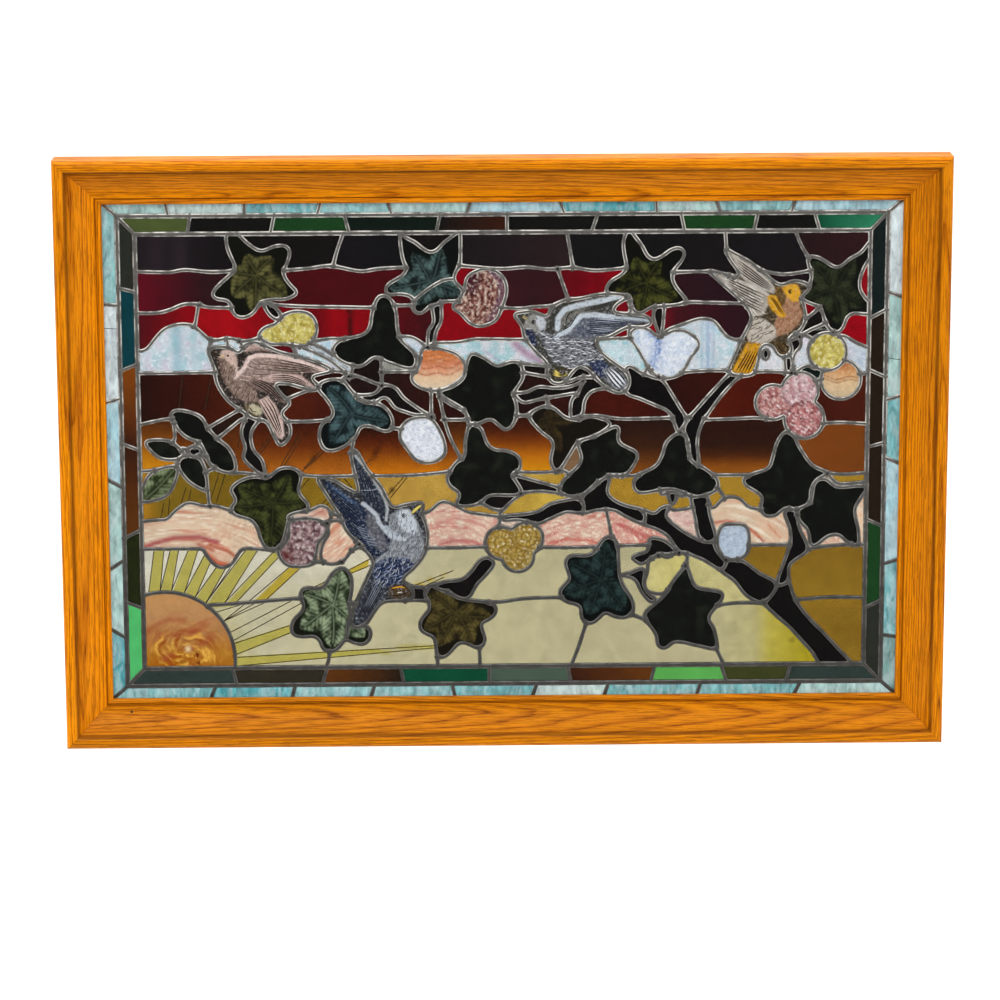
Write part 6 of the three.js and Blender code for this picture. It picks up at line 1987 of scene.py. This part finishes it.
BIRDS["gold_songbird"] = (
    bird_tint("#443826", [
        (y_far, "#d0cbc4", "#a0988e", 1.8), (y_near, "#cbc5bd", "#999086", 1.8),
        ([(354, 214), (362, 217), (372, 219), (381, 217), (384, 208), (383, 190), (388, 178), (380, 164),
          (368, 154), (354, 150), (348, 158), (354, 176), (352, 192)], "#c09476", "#93664a", 2.5),
        ([(350, 216), (360, 216), (366, 206), (364, 192), (358, 188), (352, 200)], "#7d5a26", "#513a18", 2.0),
        (y_belly, "#dcd4cb", "#b2a799", 2.5), (y_tail, "#e6ac1c", "#b8800f", 1.6),
        ([(360, 214), (368, 219), (379, 218), (384, 210), (383, 197), (374, 195), (366, 203)], "#edb62c",
         "#cf9720", 2.5),
        ([(341, 205), (352, 204), (359, 190), (366, 177), (360, 174), (348, 184), (342, 194)], "#edb41f",
         "#c28b10", 1.8),
        ([(350, 146), (366, 140), (372, 128), (360, 124), (350, 134)], "#5e4826", "#3b2c14", 2.5)],
        [([(300, 225), (330, 213), (342, 205)], 1.8, "#cfcac2", 0.9),
         ([(296, 256), (320, 242), (344, 222)], 1.6, "#c8c2b8", 0.9)],
        ("#c9b99c", "#3d3022")),
    fan([(300, 254), (322, 238), (348, 216)], [(303, 236), (318, 224), (344, 210)], 5, 0.75, "#332c24")
    + fan([(284, 230), (308, 220), (338, 206)], [(300, 204), (316, 190), (334, 180)], 7, 0.75, "#332c24")
    + fan([(344, 202), (350, 194), (358, 180)], [(348, 203), (356, 192), (364, 178)], 4, 0.7, "#8a5f0e")
    + fan([(316, 132), (308, 118), (299, 104)], [(331, 130), (326, 118), (319, 102)], 5, 1.0, "#573204")
    + hatch(y_belly, 40, 6.5, 9.0, 0.55, "#5f554a", 5) + hatch(y_near, -38, 9.0, 10.0, 0.6, "#e6e2da", 6)
    + hatch([(356, 172), (384, 190), (386, 172), (370, 156), (354, 152)], 60, 7.0, 6.0, 0.4, "#8a5a3c", 7)
    + [(eye(371, 209, 2.4), 0.6, "#2a2014"), (eye(371, 209, 0.9), 0.8, "#2a2014"),
       ([(383, 212), (389, 213), (396, 212)], 1.6, "#2c2118"),
       ([(354, 140), (360, 132), (366, 130)], 0.8, "#241a0e"),
       ([(362, 142), (368, 136), (368, 130)], 0.8, "#241a0e")])
b_near = [(-236, -36), (-222, -46), (-205, -58), (-190, -66), (-182, -74), (-170, -84), (-164, -96),
          (-154, -110),
          (-146, -120), (-152, -138), (-168, -142), (-186, -128), (-204, -104), (-214, -78), (-226, -56)]
b_far = [(-193, -4), (-186, -14), (-174, -30), (-164, -46), (-154, -64), (-151, -80), (-152, -94),
         (-160, -90),
         (-168, -76), (-184, -68), (-186, -50), (-190, -34), (-193, -18)]
b_body = [(-146, -82), (-138, -76), (-126, -76), (-118, -84), (-112, -96), (-105, -112), (-104, -128),
          (-110, -142), (-122, -154), (-136, -166), (-150, -176), (-164, -176), (-172, -160), (-168, -142),
          (-152, -132), (-148, -118), (-146, -102)]
b_low = [(-172, -150), (-150, -140), (-124, -142), (-116, -150), (-128, -164), (-142, -176), (-160, -182),
         (-172, -172)]
b_tail = [(-176, -160), (-162, -172), (-152, -180), (-164, -200), (-178, -222), (-192, -232), (-198, -228),
          (-194, -206), (-186, -184)]
BIRDS["blue_songbird"] = (
    bird_tint("#2b2a2c", [
        (b_far, "#2a3144", "#20252f", 1.8), (b_near, "#1c2b48", "#141c30", 1.8),
        (b_body, "#9a9fa4", "#666a70", 3.0), (b_low, "#1e2f56", "#182440", 4.0),
        (b_tail, "#3a3e48", "#25272e", 1.8),
        ([(-178, -78), (-168, -86), (-162, -98), (-156, -112), (-150, -126), (-158, -134), (-170, -126),
          (-178, -108), (-180, -92)], "#74747a", "#45464e", 4.0),
        ([(-140, -82), (-134, -76), (-124, -76), (-118, -86), (-112, -98), (-116, -110), (-128, -106),
          (-138, -96)], "#d6dce2", "#bac2ca", 3.5),
        ([(-230, -38), (-212, -52), (-196, -64), (-190, -70), (-204, -66), (-220, -52)], "#41597e", "#30466a",
         3.0),
        ([(-150, -178), (-126, -178), (-122, -192), (-138, -198), (-152, -192)], "#5a4526", "#33260f", 2.5)],
        [([(-193, -4), (-184, -16), (-172, -32), (-163, -48), (-155, -62), (-152, -76), (-154, -90)], 1.7,
          "#b9bfc2", 0.95),
         ([(-184, -68), (-174, -76), (-166, -84), (-163, -94), (-154, -106), (-147, -113), (-130, -116)], 2.6,
          "#c3cad2", 0.95),
         ([(-154, -100), (-146, -108), (-138, -112)], 3.0, "#b9c3ce", 0.8),
         ([(-147, -84), (-149, -96), (-145, -106)], 1.6, "#9aa0a4", 0.8)],
        ("#b5bcc6", "#1a1d26")),
    fan([(-228, -44), (-210, -58), (-192, -72)], [(-212, -82), (-202, -98), (-184, -124)], 9, 0.5, "#0f1524")
    + fan([(-200, -92), (-190, -98), (-180, -100)], [(-180, -122), (-168, -126), (-158, -124)], 7, 0.4,
          "#8d97a8")
    + fan([(-190, -20), (-186, -40), (-184, -62)], [(-178, -30), (-168, -52), (-160, -78)], 5, 0.45,
          "#151a28")
    + [([(-186, -50), (-172, -50), (-163, -48)], 0.7, "#8f98a8")]
    + fan([(-172, -172), (-184, -198), (-194, -226)], [(-156, -182), (-168, -202), (-184, -228)], 7, 0.5,
          "#12141c")
    + fan([(-168, -172), (-178, -192), (-188, -214)], [(-160, -180), (-170, -198), (-182, -218)], 4, 0.4,
          "#7f8794")
    + hatch(b_body, 75, 6.2, 6.0, 0.35, "#50545c", 8) + hatch(b_body, 70, 7.4, 7.0, 0.35, "#c0c6ce", 9)
    + hatch(b_low, 20, 10.0, 6.0, 1.0, "#7884a0", 10)
    + [([(-175, -178), (-160, -166), (-148, -158)], 0.6, "#8a93a4"),
       ([(-142, -176), (-130, -166), (-118, -156)], 0.6,
                                                                     "#9aa3b4"),
       (eye(-130.5, -84, 2.6), 0.6, "#3a3c40"), (eye(-130.5, -84, 0.9), 0.8, "#1c1d20"),
       ([(-121, -82), (-114, -75), (-107, -70)], 1.8, "#cdbb5c"),
       ([(-148, -182), (-136, -180), (-130, -182)], 0.9, "#c98f1c"),
       ([(-150, -190), (-138, -192), (-124, -186)], 0.8, "#1e1509"),
       ([(-140, -188), (-134, -187)], 1.8, "#c9c6bc")])
for name, (tint, drawn) in BIRDS.items():
    numbers = [i for i in big_panes if kinds[i] == name]
    glass(name + "_glass", numbers, tint, opal, [name])
    strokes(name + "_brushwork", drawn, fired)

# ---------------------------------------------------------------- view and light
# A plain pale floor well below, a surround that is dim in front and bright behind and overhead, and soft
# lights from the front.
floor_z = cad_box[0].z - 0.45
deselect()
bpy.ops.mesh.primitive_grid_add(x_subdivisions=8, y_subdivisions=8, size=1)
floor = bpy.context.active_object
floor.name = "floor"
floor.data.transform(Matrix.Translation((0, 5.2, floor_z)) @ Matrix.Diagonal((16, 12, 1, 1)))
paper, tree, shader = new_material("matt_white_paper")
place = add(tree, "TexCoord").outputs["Object"]
tooth = add(tree, "TexNoise", {"Vector": place, "Scale": 900.0, "Detail": 2.0})
white = set_ramp(add(tree, "ValToRGB", {"Fac": tooth.outputs[0]}), [(0.3, "#f6f6f4"), (0.7, "#fbfbfa")])
tree.links.new(white, shader.inputs["Base Color"])
shader.inputs["Roughness"].default_value = 0.9
floor.data.materials.append(paper)

world = bpy.data.worlds.new("surround")
bpy.context.scene.world = world
world.use_nodes = True
tree = world.node_tree
direction = add(tree, "TexCoord").outputs["Generated"]
parts = add(tree, "SeparateXYZ", {0: direction})
depth = parts.outputs["Y"]
height_of = parts.outputs["Z"]
level = add(tree, "MapRange", {"Value": depth, 1: -0.25, 2: 0.25, 3: 0.12, 4: 1.02}).outputs[0]
overhead = add(tree, "MapRange", {"Value": height_of, 1: 0.25, 2: 0.9, 3: 0.0, 4: 1.3}).outputs[0]
level = add(tree, "Math", {0: level, 1: overhead}, operation="ADD").outputs[0]
sky_light = tree.nodes["Background"]
tree.links.new(level, sky_light.inputs["Strength"])
sky_light.inputs["Color"].default_value = (1, 1, 1, 1)


def soft_light(name, place, aim, size, power):
    made = bpy.data.lights.new(name, "AREA")
    made.shape = "RECTANGLE"
    made.size, made.size_y = size
    made.energy = power
    lamp = bpy.data.objects.new(name, made)
    bpy.context.collection.objects.link(lamp)
    lamp.location = place
    lamp.rotation_euler = (Vector(aim) - Vector(place)).to_track_quat("-Z", "Y").to_euler()


centre = (0, 0, middle)
soft_light("key", (-1.6, -3.0, 2.0), centre, (1.8, 1.4), 86)
soft_light("fill", (2.2, -2.6, 0.6), centre, (1.6, 1.6), 38)

camera = bpy.data.cameras.new("camera")
camera.sensor_width = 36
camera.lens = 144
view = bpy.data.objects.new("camera", camera)
bpy.context.collection.objects.link(view)
pitch, yaw, roll = (math.radians(a) for a in (12.589, 0.878, -0.199))
forward = Vector((math.sin(yaw) * math.cos(pitch), math.cos(yaw) * math.cos(pitch), -math.sin(pitch)))
level_right = Vector((math.cos(yaw), -math.sin(yaw), 0))
up = level_right.cross(forward)
right = level_right * math.cos(roll) + up * math.sin(roll)
up = up * math.cos(roll) - level_right * math.sin(roll)
turned = Matrix((right, up, -forward)).transposed().to_4x4()
view.matrix_world = Matrix.Translation((-0.0832, -5.0843, 0.6856)) @ turned
bpy.context.scene.camera = view
bpy.context.scene.view_settings.view_transform = "Standard"
